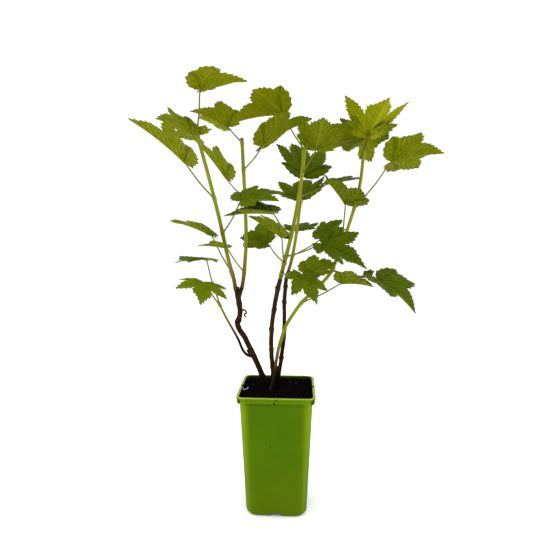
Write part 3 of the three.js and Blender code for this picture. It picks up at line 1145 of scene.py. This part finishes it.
@dataclass
class SoilBed:
    """Peat that fills the pot, with crumbs, fibres and a few pale chips on top."""

    pot: NurseryPot
    top: float = 186.5
    clearance: float = 0.3
    relief: float = 2.4
    lump: float = 11
    roughening: tuple[float, float, int] = (1.0, 2.0, 5)
    edge_relief: float = 0.25
    edge_slope: float = 8
    rings: int = 34
    middle: float = 0.02
    wall_heights: tuple[float, float] = (8.0, 95.0)
    under_ledge: float = 0.5
    dent: float = 0.55
    dent_pitch: float = 1.7
    dent_stride: float = 9.1
    crumbs: dict = field(default_factory=lambda: {
        "Density": 420000.0, "Smallest": 0.5 * MM, "Largest": 1.9 * MM, "Seed": 7})
    chips: dict = field(default_factory=lambda: {
        "Density": 1100.0, "Smallest": 0.8 * MM, "Largest": 2.0 * MM, "Seed": 11})

    def mouth(self, z: float) -> np.ndarray:
        """Ring that fills the width of the collar at a height."""
        inset = self.pot.wall + self.clearance
        return self.pot.ring(self.pot.collar_width - 2 * inset, self.pot.mouth_corner - inset, z)

    def surface(self) -> np.ndarray:
        """Rings of the rough upper surface, from the wall to the middle."""
        edge = self.mouth(self.top)
        rings = []
        for share in np.linspace(1, self.middle, self.rings):
            ring = edge * (share, share, 1)
            calm = min(1, self.edge_slope * (1 - share) + self.edge_relief)
            for point in ring:
                bumps = noise.fractal(Vector(point) / self.lump, *self.roughening)
                point[2] += self.relief * bumps * calm
            rings.append(ring)
        return np.array(rings)

    def bits(self, name: str, count: int, stretch: Point) -> bpy.types.Collection:
        """Makes a few small rough shapes, one unit across, to be strewn.

        Args:
            name: Name of the collection.
            count: How many shapes it holds.
            stretch: Length of a shape along its three axes.

        Returns:
            The collection.
        """
        collection = bpy.data.collections.new(name)
        for number in range(count):
            shape = bmesh.new()
            bmesh.ops.create_icosphere(shape, subdivisions=1, radius=1.0)
            for vert in shape.verts:
                spot = vert.co * self.dent_pitch + Vector((number * self.dent_stride, 0, 0))
                dent = 1 + self.dent * noise.noise(spot)
                vert.co = Vector(c * s for c, s in zip(vert.co, stretch)) * dent
            mesh = bpy.data.meshes.new(f"{name}_{number}")
            shape.to_mesh(mesh)
            shape.free()
            collection.objects.link(bpy.data.objects.new(mesh.name, mesh))
        return collection

    def build(self) -> None:
        """Makes the bed and what lies on it."""
        surface = self.surface()
        ledge = self.pot.height - self.pot.collar_height + self.pot.wall + self.clearance
        heights = (*self.wall_heights, ledge - self.under_ledge)
        walls = [self.pot.ring(*self.pot.inside_at(z), z) for z in heights]
        walls.append(self.mouth(ledge))
        parts = MeshParts()
        parts.add_loft(np.array([*walls, *surface]))
        settle(parts.build("soil_bed", [MoistPeat()], sharp=80), "potting_soil", "potting_soil")
        strewn = (
            ("soil_crumbs", self.bits("crumbs", 5, (1, 0.8, 0.65)), self.crumbs, MoistPeat()),
            ("soil_chips", self.bits("chips", 4, (2.2, 0.5, 0.3)), self.chips, DryChip()),
        )
        for name, bits, values, finish in strewn:
            ground = MeshParts()
            ground.add_grid(surface[:-1], flip=True, wrap=True)
            host = ground.build(f"{name}_ground", [finish])
            piece = Scatter().strew(name, host, Bits=bits, Finish=finish.make(), **values)
            settle(piece, "potting_soil")


@dataclass(frozen=True)
class Limb:
    """A tapering limb, by the points of its route and its radius at either end."""

    route: tuple[Point, ...]
    radii: tuple[float, float]

    def rings(self, count: int, sides: int = 8) -> np.ndarray:
        """Plain rings of the limb.

        Args:
            count: How many rings it has.
            sides: Sides of a ring.

        Returns:
            The rings.
        """
        shares = np.linspace(0, 1, count)
        return tube(Route(self.route).at(shares), np.outer(between(self.radii, shares), np.ones(sides)))


@dataclass(frozen=True)
class Cane(Limb):
    """A woody cane, with the height and the bearing of the bud at each of its joints."""

    joints: tuple[tuple[float, float], ...]


@dataclass
class Canes:
    """Woody canes that stand in the peat: rough bark, swollen joints and buds."""

    sides: int = 26
    step: float = 0.9
    sunk: float = 5
    strip_depth: float = 0.35
    strip_pitch: tuple[float, float] = (3.1, 9)
    lump_depth: float = 0.45
    lump_pitch: tuple[float, float] = (1.1, 13)
    first_seed: float = 1.3
    seed_stride: float = 3.7
    joint_swell: float = 0.8
    joint_width: float = 2.8
    bud_length: float = 3.6
    bud_profile: tuple[tuple[float, float], ...] = (
        (0, 0.2), (0.12, 0.33), (0.3, 0.38), (0.5, 0.35), (0.7, 0.26), (0.88, 0.13), (1.0, 0.02))
    bud_sunk: float = 0.7
    bud_climb: float = 0.9
    bud_lean: float = 0.25
    bud_sides: int = 8
    canes: dict[str, Cane] = field(default_factory=lambda: {
        "cane_left": Cane(((-20, 6, 182), (-26, 6, 208), (-53, 3, 270), (-65, 2, 291), (-61, 1, 311),
                           (-64, 1, 340)), (4.9, 4.2), ((206, 20), (300, 0), (327, 170))),
        "cane_centre": Cane(((-7, 10, 182), (-8, 8, 215), (-10, 1, 250), (-9, -3, 290), (0, -8, 348),
                             (5, -10, 368)), (3.8, 3.6), ((222, 0), (252, 300), (286, 185), (318, 20),
                                                          (353, 190))),
        "cane_right": Cane(((-2, 27, 182), (6, 27, 238), (10, 29, 271), (10, 33, 326), (13, 35, 367)),
                           (3.5, 3.3), ((232, 0), (281, 190), (326, 185), (352, 20))),
    })
    side_limbs: dict[str, tuple[Limb, ...]] = field(default_factory=lambda: {
        "cane_left": (
            Limb(((-64, 1, 334), (-66, 0, 344), (-68, -2, 354)), (3.7, 3.2)),
            Limb(((-64, 1, 334), (-61, 2, 344), (-58, 3, 354)), (3.6, 3.1)),
            Limb(((-63, 2, 288), (-66, 1, 294), (-68, 0, 300)), (4.6, 2.4)),
            Limb(((-44, 3, 243), (-47, 2, 247), (-50, 1, 251)), (3.2, 1.5)),
            Limb(((-63, 0, 338), (-63, -2, 347), (-63, -4, 355)), (2.3, 1.9)),
        ),
        "cane_centre": (Limb(((-3, 14, 180), (-2, 14, 202), (1, 15, 221)), (4.0, 2.6)),),
    })
    curl: Limb = Limb(((-62, 1, 314), (-58, -2, 316), (-54, -4, 318), (-51, -5, 316), (-50, -6, 313),
                       (-53, -6, 311), (-53, -6, 309), (-50, -7, 307)), (1.6, 1.2))
    curl_steps: int = 48

    def bark_rings(self, limb: Limb, seed: float, sunk: float = 0.0,
                   joints: Sequence[float] = ()) -> np.ndarray:
        """Rings of a limb with the relief of its bark.

        Args:
            limb: The limb.
            seed: Where its noise is read.
            sunk: How far its foot is carried down into the peat.
            joints: Heights at which it swells.

        Returns:
            The rings.
        """
        line = Route(limb.route)
        count = max(8, round(line.length / self.step))
        shares = np.linspace(0, 1, count)
        points = line.at(shares)
        if sunk:
            points = np.vstack((points[0] - (0, 0, sunk), points))
            shares = np.concatenate(([0.0], shares))
        radii = between(limb.radii, shares)
        for height in joints:
            radii = radii + self.joint_swell * np.exp(-((points[:, 2] - height) / self.joint_width) ** 2)
        turns = np.linspace(0, 2 * math.pi, self.sides, endpoint=False)
        (strip_round, strip_along), (lump_round, lump_along) = self.strip_pitch, self.lump_pitch
        rows = []
        for radius, place in zip(radii, shares * line.length):
            row = []
            for turn in turns:
                round_it = Vector((math.cos(turn), math.sin(turn), 0))
                strip = noise.noise(round_it * strip_round + Vector((seed, 0, place / strip_along)))
                lump = noise.noise(round_it * lump_round + Vector((0, seed, place / lump_along)))
                row.append(radius - self.strip_depth * abs(strip) + self.lump_depth * lump)
            rows.append(row)
        return tube(points, np.array(rows))

    def bud(self, parts: MeshParts, line: Route, share: float, radius: float, turn: float,
            length: float, age: float = 0.5) -> None:
        """Adds a pointed bud that leans out from a limb.

        Args:
            parts: What takes the bud.
            line: Line of the limb.
            share: Where on the limb it sits.
            radius: Radius of the limb there.
            turn: Bearing round the limb in degrees.
            length: Length of the bud.
            age: Its age on the shoot's scale of colours.
        """
        here, there = line.at(np.array([share, min(1.0, share + 0.02)]))
        up = (there - here) / max(np.linalg.norm(there - here), TINY)
        out = np.array((math.cos(math.radians(turn)), math.sin(math.radians(turn)), 0.0))
        out = out - up * out.dot(up)
        out /= np.linalg.norm(out)
        foot = here + out * radius * self.bud_sunk
        shares, girths = (np.array(column) for column in zip(*self.bud_profile))
        climb = np.outer(shares * length, up * self.bud_climb)
        lean = np.outer(np.sin(shares * 2) * length * self.bud_lean, out)
        skin = tube(foot + climb + lean, np.outer(girths * length, np.ones(self.bud_sides)))
        parts.add_loft(skin, age)

    def build(self) -> None:
        """Makes the canes."""
        for number, (name, cane) in enumerate(self.canes.items()):
            seed = self.seed_stride * number + self.first_seed
            parts = MeshParts()
            parts.add_loft(self.bark_rings(cane, seed, self.sunk, [height for height, _ in cane.joints]))
            line = Route(cane.route)
            for height, bearing in cane.joints:
                share = line.share_at(height)
                radius = between(cane.radii, share) + self.joint_swell
                self.bud(parts, line, share, radius, bearing, self.bud_length)
            for extra, limb in enumerate(self.side_limbs.get(name, ())):
                parts.add_loft(self.bark_rings(limb, seed + extra + 1))
            if name == "cane_left":
                parts.add_loft(self.curl.rings(self.curl_steps))
            settle(parts.build(f"{name}_bark", [CaneBark()], sharp=70), "cane_bark", name)


@dataclass
class Litter:
    """What has dropped on the pot: a pale curl on the peat and dark crumbs on the front lip."""

    curl: Limb = Limb(((-56, -3, 188.6), (-55.5, -8, 188.8), (-52.5, -12, 189), (-49.5, -9, 189.2),
                       (-48, -3, 189.8)), (0.6, 0.7))
    crumbs: tuple[Limb, ...] = (
        Limb(((3.5, -59, 192), (2.2, -60.6, 191), (0.6, -61.1, 188.8)), (0.5, 0.9)),
        Limb(((-1.2, -60, 186), (-1.7, -60.2, 184.6), (-2.6, -60, 183)), (0.9, 0.5)),
    )
    fewest: int = 8

    def build(self) -> None:
        """Makes the curl and the crumbs."""
        pieces = (("soil_curl", (self.curl,), PaleShaving()), ("lip_crumbs", self.crumbs, MoistPeat()))
        for name, limbs, finish in pieces:
            parts = MeshParts()
            for limb in limbs:
                parts.add_loft(limb.rings(max(self.fewest, round(Route(limb.route).length))))
            settle(parts.build(name, [finish]), "potting_soil")


@dataclass(frozen=True)
class Leaf:
    """One leaf: where its stalk springs, how the stalk spans, and how the blade is held."""

    height: float
    bearing: float
    reach: float
    rise: float
    heading: float
    pitch: float
    roll: float
    length: float
    fold: float
    tint: Tint
    cut: float = 0.0


class Knot(Enum):
    """What a point of the blade's outline is, and how far a leaf's own cut draws it in."""

    TIP = 0.0
    SIDE = 0.45
    SINUS = 1.0


@dataclass(frozen=True)
class Blade:
    """The rule for a blade: lobes on either side of their veins, with a toothed edge."""

    chart: ClassVar[str] = "veins"
    chart_unit: ClassVar[float] = 10
    thickness: float = 0.5
    droop: float = 14
    tooth: float = 7.4
    tooth_depth: float = 3.1
    tooth_range: tuple[float, float] = (0.6, 1.35)
    tooth_lean: float = 0.45
    tooth_profile: tuple[float, ...] = (1.0, 0.05, 0.35, 0.7)
    full_length: float = 60
    edge_band: tuple[float, float] = (0.55, 0.45)
    edge_curve: float = 1.5
    tip_stretch: float = 0.03
    inner_rungs: int = 8
    vein_start: float = 0.22
    across: tuple[float, ...] = (0, 0.05, 0.12, 0.24, 0.4, 0.58, 0.76, 0.9, 1)
    bulge: float = 0.016
    bulge_edge: float = 0.6
    groove: float = 0.6
    groove_width: float = 1.6
    groove_fade: float = 0.7
    ridge: float = 0.9
    ruffle: float = 0.05
    waves: tuple[tuple[float, float], ...] = ((3, 1.0), (6.5, 0.7), (11, 0.4))
    side_droop: float = 0.22
    half: tuple[tuple[float, float, Knot], ...] = (
        (0, 1.0, Knot.TIP), (11, 0.86, Knot.SIDE), (21, 0.77, Knot.SIDE), (30, 0.68, Knot.SINUS),
        (39, 0.79, Knot.SIDE), (50, 0.88, Knot.TIP), (60, 0.76, Knot.SIDE), (72, 0.62, Knot.SINUS),
        (84, 0.65, Knot.TIP), (98, 0.53, Knot.SIDE), (116, 0.32, Knot.SIDE), (142, 0.13, Knot.SINUS),
    )

    def lobe_sides(self) -> list[tuple[int, list[int], int]]:
        """Splits the outline into the sides of its lobes.

        Returns:
            For each side the number of its lobe, the knots from the notch to the tip, and
            +1 or -1 for a notch that lies further round than the tip or nearer.
        """
        tips = [i for i, knot in enumerate(self.half) if knot[2] is Knot.TIP]
        notches = [i for i, knot in enumerate(self.half) if knot[2] is Knot.SINUS]
        sides = []
        for lobe, tip in enumerate(tips):
            for notch in notches:
                inner = self.half[min(tip, notch) + 1:max(tip, notch)]
                if any(knot[2] is not Knot.SIDE for knot in inner):
                    continue
                step = 1 if tip > notch else -1
                sides.append((lobe, list(range(notch, tip + step, step)), -step))
        return sides

    def flat_knots(self, leaf: Leaf, hand: int) -> np.ndarray:
        """Outline knots on the flat, along the midrib and across it.

        Args:
            leaf: The leaf, whose cut deepens the notches between its lobes.
            hand: +1 or -1 for the left or the right half.

        Returns:
            The points.
        """
        angles = np.radians([knot[0] for knot in self.half])
        shares = np.array([share * (1 - leaf.cut * knot.value) for _, share, knot in self.half])
        reach = shares * leaf.length
        return np.column_stack((reach * np.cos(angles), hand * reach * np.sin(angles)))

    def teeth_of(self, lobe: int, leaf: Leaf) -> int:
        """Number of teeth on each side of a lobe."""
        flat = self.flat_knots(leaf, 1)
        runs = [
            np.linalg.norm(np.diff(flat[knots], axis=0), axis=1).sum()
            for number, knots, _ in self.lobe_sides() if number == lobe
        ]
        return max(2, round(float(np.mean(runs)) / self.tooth))

    def half_lobe(self, knots: np.ndarray, depths: np.ndarray, length: float) -> dict[str, np.ndarray]:
        """Lays half a lobe flat, in rungs from its vein to its toothed edge.

        Args:
            knots: Edge points from the notch to the tip.
            depths: Depth of each tooth along the edge, as a share of the usual one.
            length: Length of the blade.

        Returns:
            Flat points, map coordinates, share across and share along the vein.
        """
        per_tooth = len(self.tooth_profile)
        rungs = len(depths) * per_tooth
        gaps = np.linalg.norm(np.diff(knots, axis=0), axis=1)
        travel = np.concatenate(([0.0], np.cumsum(gaps)))
        places = np.linspace(0, travel[-1], rungs + 1)
        edge = np.column_stack([np.interp(places, travel, knots[:, i]) for i in range(2)])
        tangents = np.gradient(edge, axis=0)
        tangents /= np.linalg.norm(tangents, axis=1)[:, None]
        normals = np.column_stack((tangents[:, 1], -tangents[:, 0]))
        outwards = np.sign(np.sum(normals * (edge - knots[-1] / 2), axis=1).sum())
        push = np.append(np.outer(depths, self.tooth_profile).ravel(), 0)
        push[0] = 0
        depth = self.tooth_depth * min(1.0, length / self.full_length)
        teeth_shift = depth * push[:, None] * (normals * outwards + self.tooth_lean * tangents)
        teeth_shift[-1] = knots[-1] * self.tip_stretch
        inner = np.linspace(0, 1, self.inner_rungs, endpoint=False)
        boundary = np.vstack((inner[:, None] * knots[0], edge))
        shift = np.vstack((np.zeros((len(inner), 2)), teeth_shift))
        along = np.concatenate((inner * self.vein_start, np.linspace(self.vein_start, 1, rungs + 1)))
        vein = along[:, None] * knots[-1]
        share = np.array(self.across)[None, :, None]
        edge_start, edge_width = self.edge_band
        near_edge = np.clip((share - edge_start) / edge_width, 0, 1) ** self.edge_curve
        near_edge = np.where(along[:, None, None] == 1, 1, near_edge)
        flat = vein[:, None] * (1 - share) + boundary[:, None] * share + shift[:, None] * near_edge
        order = (np.arange(len(along)) - self.inner_rungs) / per_tooth
        away = np.linalg.norm(flat - vein[:, None], axis=2)
        chart = np.stack((np.broadcast_to(order[:, None], away.shape), away / self.chart_unit), -1)
        return {"flat": flat, "chart": chart, "across": np.broadcast_to(share[..., 0], away.shape),
                "along": np.broadcast_to(along[:, None], away.shape), "away": away}

    def place(self, flat: np.ndarray, level: np.ndarray, leaf: Leaf, base: np.ndarray,
              axes: tuple[np.ndarray, np.ndarray, np.ndarray]) -> np.ndarray:
        """Bends flat points into the blade's place, by the rule of the solids.

        Args:
            flat: Points along and across the midrib.
            level: Height over the blade's middle sheet.
            leaf: The leaf.
            base: Foot of the blade.
            axes: Its axes along, across and out.

        Returns:
            The points.
        """
        along, across, out = axes
        droop = math.radians(self.droop) / leaf.length
        fold = math.radians(leaf.fold)
        u, v = flat[..., 0], flat[..., 1]
        soft = np.sqrt(v ** 2 + 1) - 1
        height = level + soft * math.sin(fold) - (1 - np.cos(droop * u)) / droop
        return (base + along * (np.sin(droop * u) / droop)[..., None]
                + across * (v * math.cos(fold))[..., None] + out * height[..., None])

    def add(self, parts: MeshParts, leaf: Leaf, base: np.ndarray,
            axes: tuple[np.ndarray, np.ndarray, np.ndarray], slot: int, seed: int) -> None:
        """Adds a blade as a thin closed leaf, its upper face and underside in two slots.

        Args:
            parts: What takes the blade.
            leaf: The leaf.
            base: Foot of the blade.
            axes: Its axes along, across and out.
            slot: Slot of the upper face; the underside takes the next.
            seed: Seed of its ruffle.
        """
        rng = np.random.default_rng(seed)
        phase = rng.uniform(0, 2 * math.pi, 3)
        length = leaf.length
        half = self.thickness / 2
        for hand in (1, -1):
            knots = self.flat_knots(leaf, hand)
            for lobe, numbers, turn in self.lobe_sides():
                depths = rng.uniform(*self.tooth_range, self.teeth_of(lobe, leaf))
                side = self.half_lobe(knots[numbers], depths, length)
                flat, across = side["flat"], side["across"]
                order, away = side["chart"][..., 0], side["away"]
                reach = np.linalg.norm(flat, axis=-1) / length
                angle = np.arctan2(flat[..., 1], flat[..., 0])
                wave = sum(size * np.sin(pitch * angle + start)
                           for (pitch, size), start in zip(self.waves, phase))
                puff = 0.5 - 0.5 * np.cos(2 * math.pi * order)
                puff = puff * (4 * across * (1 - across)) ** self.bulge_edge
                near_vein = np.exp(-(away / self.groove_width) ** 2) * (1 - across)
                near_vein = near_vein * (1 - self.groove_fade * side["along"])
                level = (self.ruffle * length * wave * reach ** 2
                         + self.bulge * length * puff
                         - self.side_droop * flat[..., 1] ** 2 / length
                         - self.groove * near_vein)
                flip = turn * hand < 0
                upper = self.place(flat, level + half, leaf, base, axes)
                lower = self.place(flat, level - half - self.ridge * near_vein, leaf, base, axes)
                parts.add_grid(upper, slot, side["chart"], flip=flip)
                parts.add_grid(lower, slot + 1, side["chart"], flip=not flip)
                first = 0 if numbers[0] == len(self.half) - 1 else self.inner_rungs
                rim = np.stack((upper[first:, -1], lower[first:, -1]), 1)
                chart = np.stack((side["chart"][first:, -1],) * 2, 1)
                parts.add_grid(rim, slot + 1, chart, flip=flip)


@dataclass
class Shoot:
    """A young shoot and its leaves, which stand for one mass of the solids."""

    name: str
    route: tuple[Point, ...]
    radii: tuple[float, float]
    leaves: tuple[Leaf, ...]
    ages: tuple[float, float] = (0.08, 1.0)

    sides: ClassVar[int] = 14
    step: ClassVar[float] = 2.0
    overlap: ClassVar[float] = 3.0
    node_swell: ClassVar[float] = 0.7
    node_share: ClassVar[float] = 0.8
    node_width: ClassVar[float] = 3.5
    stalk_sides: ClassVar[int] = 10
    stalk_step: ClassVar[float] = 3
    stalk_fewest: ClassVar[int] = 10
    stalk_bend: ClassVar[float] = 0.55
    stalk_sag: ClassVar[float] = 0.03
    stalk_radii: ClassVar[tuple[float, float]] = (1.3, 0.95)
    full_length: ClassVar[float] = 45
    clasp: ClassVar[float] = 1.0
    clasp_length: ClassVar[float] = 5.0
    into_blade: ClassVar[float] = 4.0
    under_blade: ClassVar[tuple[float, float]] = (0.3, 0.6)
    bud_length: ClassVar[float] = 4.2
    bud_above: ClassVar[float] = 0.01
    last_joint: ClassVar[float] = 0.97

    @staticmethod
    def axes(leaf: Leaf) -> tuple[np.ndarray, np.ndarray, np.ndarray]:
        """Axes of a blade: along the midrib, across it, and out of its upper face."""
        h, p, r = (math.radians(angle) for angle in (leaf.heading, leaf.pitch, leaf.roll))
        along = np.array((math.cos(p) * math.cos(h), math.cos(p) * math.sin(h), math.sin(p)))
        level = np.array((-math.sin(h), math.cos(h), 0.0))
        across = level * math.cos(r) + np.cross(along, level) * math.sin(r)
        return along, across, np.cross(along, across)

    def stem(self, line: Route) -> tuple[np.ndarray, np.ndarray, np.ndarray]:
        """Line of the shoot, swollen where its leaves spring.

        Args:
            line: The route.

        Returns:
            Points, and the radius and the age at each.
        """
        count = round(line.length / self.step)
        shares = np.linspace(0, 1, count)
        points = line.at(shares)
        radii = between(self.radii, shares)
        travel = shares * line.length
        for leaf in self.leaves:
            place = line.share_at(leaf.height) * line.length
            swell = self.node_swell * np.exp(-((travel - place) / self.node_width) ** 2)
            radii = radii + swell * self.node_share
        step = points[1] - points[0]
        start = points[0] - step / np.linalg.norm(step) * self.overlap
        ages = between(self.ages, shares)
        return np.vstack((start, points)), np.append(radii[0], radii), np.append(ages[0], ages)

    def stalk(self, line: Route, leaf: Leaf) -> tuple[np.ndarray, np.ndarray, np.ndarray]:
        """Line and radii of a leaf's stalk.

        Args:
            line: Route of the shoot.
            leaf: The leaf.

        Returns:
            Points, the radius at each, and the foot of the blade.
        """
        foot = line.at_height(leaf.height)
        turn = math.radians(leaf.bearing)
        span = np.array((math.cos(turn) * leaf.reach, math.sin(turn) * leaf.reach, leaf.rise))
        base = foot + span
        bend = foot + span * self.stalk_bend
        bend[2] -= np.linalg.norm(span) * self.stalk_sag
        along, _, out = self.axes(leaf)
        under_foot, under_end = self.under_blade
        end = base + along * self.into_blade - out * under_end
        path = Route([foot, bend, base - out * under_foot, end])
        shares = np.linspace(0, 1, max(self.stalk_fewest, round(path.length / self.stalk_step)))
        small = min(1.0, leaf.length / self.full_length)
        radii = between(self.stalk_radii, shares) * small
        radii = radii + self.clasp * small * np.exp(-(shares * path.length / self.clasp_length) ** 2)
        return path.at(shares), radii, base

    def build(self, number: int) -> None:
        """Makes the shoot.

        Args:
            number: Its number among the shoots, which seeds its leaves.
        """
        line = Route(self.route)
        stem = RoundStem().grow(f"{self.name}_stem", [self.stem(line)], self.sides, YoungStem())
        settle(stem, "green_shoot", self.name)
        if not self.leaves:
            return
        tints = list(Tint)
        finishes = [face for tint in tints for face in tint.faces]
        stalks, blades, buds = [], MeshParts(), MeshParts()
        for place, leaf in enumerate(self.leaves):
            path, radii, base = self.stalk(line, leaf)
            stalks.append((path, radii, np.linspace(0, 1, len(path))))
            Blade().add(blades, leaf, base, self.axes(leaf), 2 * tints.index(leaf.tint),
                        100 * number + place)
            share = line.share_at(leaf.height)
            if leaf.length > self.full_length and share < self.last_joint:
                Canes().bud(buds, line, share + self.bud_above, between(self.radii, share),
                            leaf.bearing, self.bud_length, age=share)
        stalk_piece = RoundStem().grow(f"{self.name}_stalks", stalks, self.stalk_sides, Stalk())
        settle(stalk_piece, "green_shoot", self.name)
        settle(blades.build(f"{self.name}_leaves", finishes, weld=0.01, sharp=60), "leaf", self.name)
        if buds.count:
            settle(buds.build(f"{self.name}_buds", [YoungStem()]), "green_shoot", self.name)


DEEP, MID, BRIGHT = Tint.DEEP, Tint.MID, Tint.BRIGHT

SHOOTS = (
    Shoot("cane_low", ((-13, -9, 178), (-13, -9, 182), (-7, -6, 202), (2, -4, 255), (12, -3, 289)),
          (2.4, 2.9), (), (0.0, 0.35)),
    Shoot("foliage_left", ((-68, -2, 353), (-70, -3, 366), (-77, -11, 397), (-88, -27, 461),
                           (-100, -42, 520), (-114, -60, 584)), (3.2, 2.7), (
        Leaf(582, 0, 6, 63, 350, 15, 5, 68, 22, BRIGHT),
        Leaf(492, 253, 82, 40, 205, 43, -6, 84, 22, MID, 0.1),
        Leaf(578, 117, 20, 8, 175, 30, 15, 64, 15, MID),
        Leaf(582, 90, 14, 4, 305, 20, 0, 24, 25, BRIGHT),
        Leaf(440, 300, 78, 43, 20, 22, 20, 66, 10, MID, 0.2),
        Leaf(376, 177, 34, 62, 190, 28, 5, 66, 12, MID),
    ), (0.17, 1.0)),
    Shoot("foliage_inner_left", ((-58, 3, 353), (-56, 4, 365), (-54, 6, 385), (-52, 12, 430),
                                 (-54, 19, 485), (-61, 35, 599)), (3.1, 2.9), (
        Leaf(592, 165, 26, 28, 215, 23, 5, 66, 22, BRIGHT),
        Leaf(546, 300, 78, 24, 5, 36, -5, 80, 20, MID),
        Leaf(498, 139, 51, 41, 195, 55, 0, 74, 25, MID),
        Leaf(378, 240, 44, 40, 195, 12, 0, 42, 20, MID),
    ), (0.17, 1.0)),
    Shoot("foliage_spur", ((-41, 2, 240), (-50, 1, 243), (-57, 0, 252), (-64, -5, 271),
                           (-81, -16, 307), (-90, -25, 330)), (2.4, 1.7), (
        Leaf(328, 231, 32, 38, 280, -20, -15, 54, 5, BRIGHT, 0.3),
        Leaf(328, 122, 65, 72, 155, 5, 0, 56, 0, MID),
    ), (0.0, 0.33)),
    Shoot("foliage_centre", ((5, -10, 368), (9, -13, 385), (24, -22, 443), (37, -35, 514),
                             (44, -45, 573)), (3.2, 2.5), (
        Leaf(394, 113, 81, 31, 165, 15, -45, 54, 35, MID),
        Leaf(436, 253, 82, 29, 180, 5, -12, 66, 18, DEEP),
        Leaf(393, 258, 16, 41, 165, 36, 10, 62, 30, DEEP, 0.1),
        Leaf(529, 300, 38, 27, 280, 35, -15, 56, 35, DEEP),
        Leaf(377, 297, 72, 3, 312, -50, 0, 50, 10, MID, 0.2),
        Leaf(404, 329, 63, 20, 350, -22, 30, 74, 22, DEEP, 0.3),
    ), (0.2, 1.0)),
    Shoot("foliage_back", ((13, 35, 367), (22, 41, 398), (34, 55, 475), (39, 68, 550),
                           (41, 75, 591)), (2.9, 2.2), (
        Leaf(590, 247, 82, 36, 185, 0, 5, 80, 35, BRIGHT),
        Leaf(542, 87, 38, 5, 112, 60, 2, 88, 34, DEEP, 0.2),
        Leaf(489, 84, 53, 17, 90, 40, -10, 76, 32, MID, 0.15),
        Leaf(445, 88, 51, 4, 75, 24, 0, 50, 15, DEEP, 0.1),
        Leaf(374, 295, 73, 5, 10, 24, 25, 48, 20, BRIGHT),
        Leaf(404, 14, 53, 31, 20, 50, 20, 48, 10, MID),
        Leaf(505, 2, 46, 22, 338, 8, 15, 60, 16, DEEP),
    ), (0.16, 1.0)),
    Shoot("foliage_right", ((12, -3, 289), (20, -3, 303), (39, -2, 330), (82, 0, 374), (96, 0, 405),
                            (128, 3, 507), (137, 5, 586)), (2.9, 2.5), (
        Leaf(423, 40, 6, 64, 240, 30, -25, 68, 35, DEEP),
        Leaf(568, 280, 25, 17, 280, 31, -4, 84, 36, BRIGHT, 0.3),
        Leaf(580, 270, 20, 5, 45, 12, -40, 52, -10, MID),
        Leaf(563, 235, 5, 25, 150, 0, 10, 78, 20, MID),
        Leaf(563, 81, 46, 41, 120, 45, 0, 50, 20, MID),
        Leaf(479, 18, 65, 77, 352, 14, -22, 78, 20, MID),
        Leaf(330, 353, 63, 32, 335, 8, -10, 50, 35, DEEP),
        Leaf(382, 336, 73, -11, 330, -29, 8, 74, 20, DEEP, 0.05),
        Leaf(382, 336, 59, -7, 60, 50, 0, 14, 30, DEEP),
    ), (0.3, 1.0)),
)


@dataclass
class Studio:
    """A pale floor, soft lights all round and the camera of the photograph."""

    floor_size: float = 40.0
    floor_colour: str = "fcfcfb"
    floor_roughness: float = 0.9
    sky: float = 1.1
    focal: float = 28.0
    sensor: float = 36.0
    eye: Point = (37.0, -689.0, 420.0)
    tilt: float = 86.0
    swing: float = 3.2
    lamps: tuple[tuple[str, Point, float, float], ...] = (
        ("left_softbox", (-1.6, -0.3, 1.1), 1.2, 17.0),
        ("right_softbox", (1.6, -0.1, 1.0), 1.2, 14.0),
        ("top_softbox", (0.1, 0.1, 2.2), 1.4, 9.0),
        ("back_softbox", (0.0, 1.8, 1.2), 1.2, 5.0),
    )
    aim: Point = (0.0, 0.0, 0.3)

    def build(self) -> None:
        """Sets the stage."""
        scene = bpy.context.scene
        scene.view_settings.view_transform = "Standard"
        world = bpy.data.worlds.new("white_tent")
        world.use_nodes = True
        background = world.node_tree.nodes["Background"]
        background.inputs["Color"].default_value = (1, 1, 1, 1)
        background.inputs["Strength"].default_value = self.sky
        scene.world = world
        bpy.ops.mesh.primitive_plane_add(size=self.floor_size)
        floor = bpy.context.object
        floor.name = "floor"
        pale = bpy.data.materials.new("pale_floor")
        pale.use_nodes = True
        shader = pale.node_tree.nodes["Principled BSDF"]
        shader.inputs["Base Color"].default_value = linear(self.floor_colour)
        shader.inputs["Roughness"].default_value = self.floor_roughness
        floor.data.materials.append(pale)
        for name, place, size, power in self.lamps:
            data = bpy.data.lights.new(name, "AREA")
            data.size = size
            data.energy = power
            lamp = bpy.data.objects.new(name, data)
            lamp.location = place
            towards = Vector(self.aim) - Vector(place)
            lamp.rotation_euler = towards.to_track_quat("-Z", "Y").to_euler()
            scene.collection.objects.link(lamp)
        view = bpy.data.cameras.new("camera")
        view.lens = self.focal
        view.sensor_width = self.sensor
        camera = bpy.data.objects.new("camera", view)
        camera.location = Vector(self.eye) * MM
        camera.rotation_euler = (math.radians(self.tilt), 0, math.radians(self.swing))
        scene.collection.objects.link(camera)
        scene.camera = camera


def main() -> None:
    """Builds the bush, its pot and the studio."""
    logging.basicConfig(level=logging.INFO, format="%(message)s")
    pot = NurseryPot()
    pot.build()
    SoilBed(pot).build()
    Canes().build()
    Litter().build()
    for number, shoot in enumerate(SHOOTS):
        shoot.build(number)
    Studio().build()
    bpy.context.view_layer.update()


if __name__ == "__main__":
    main()
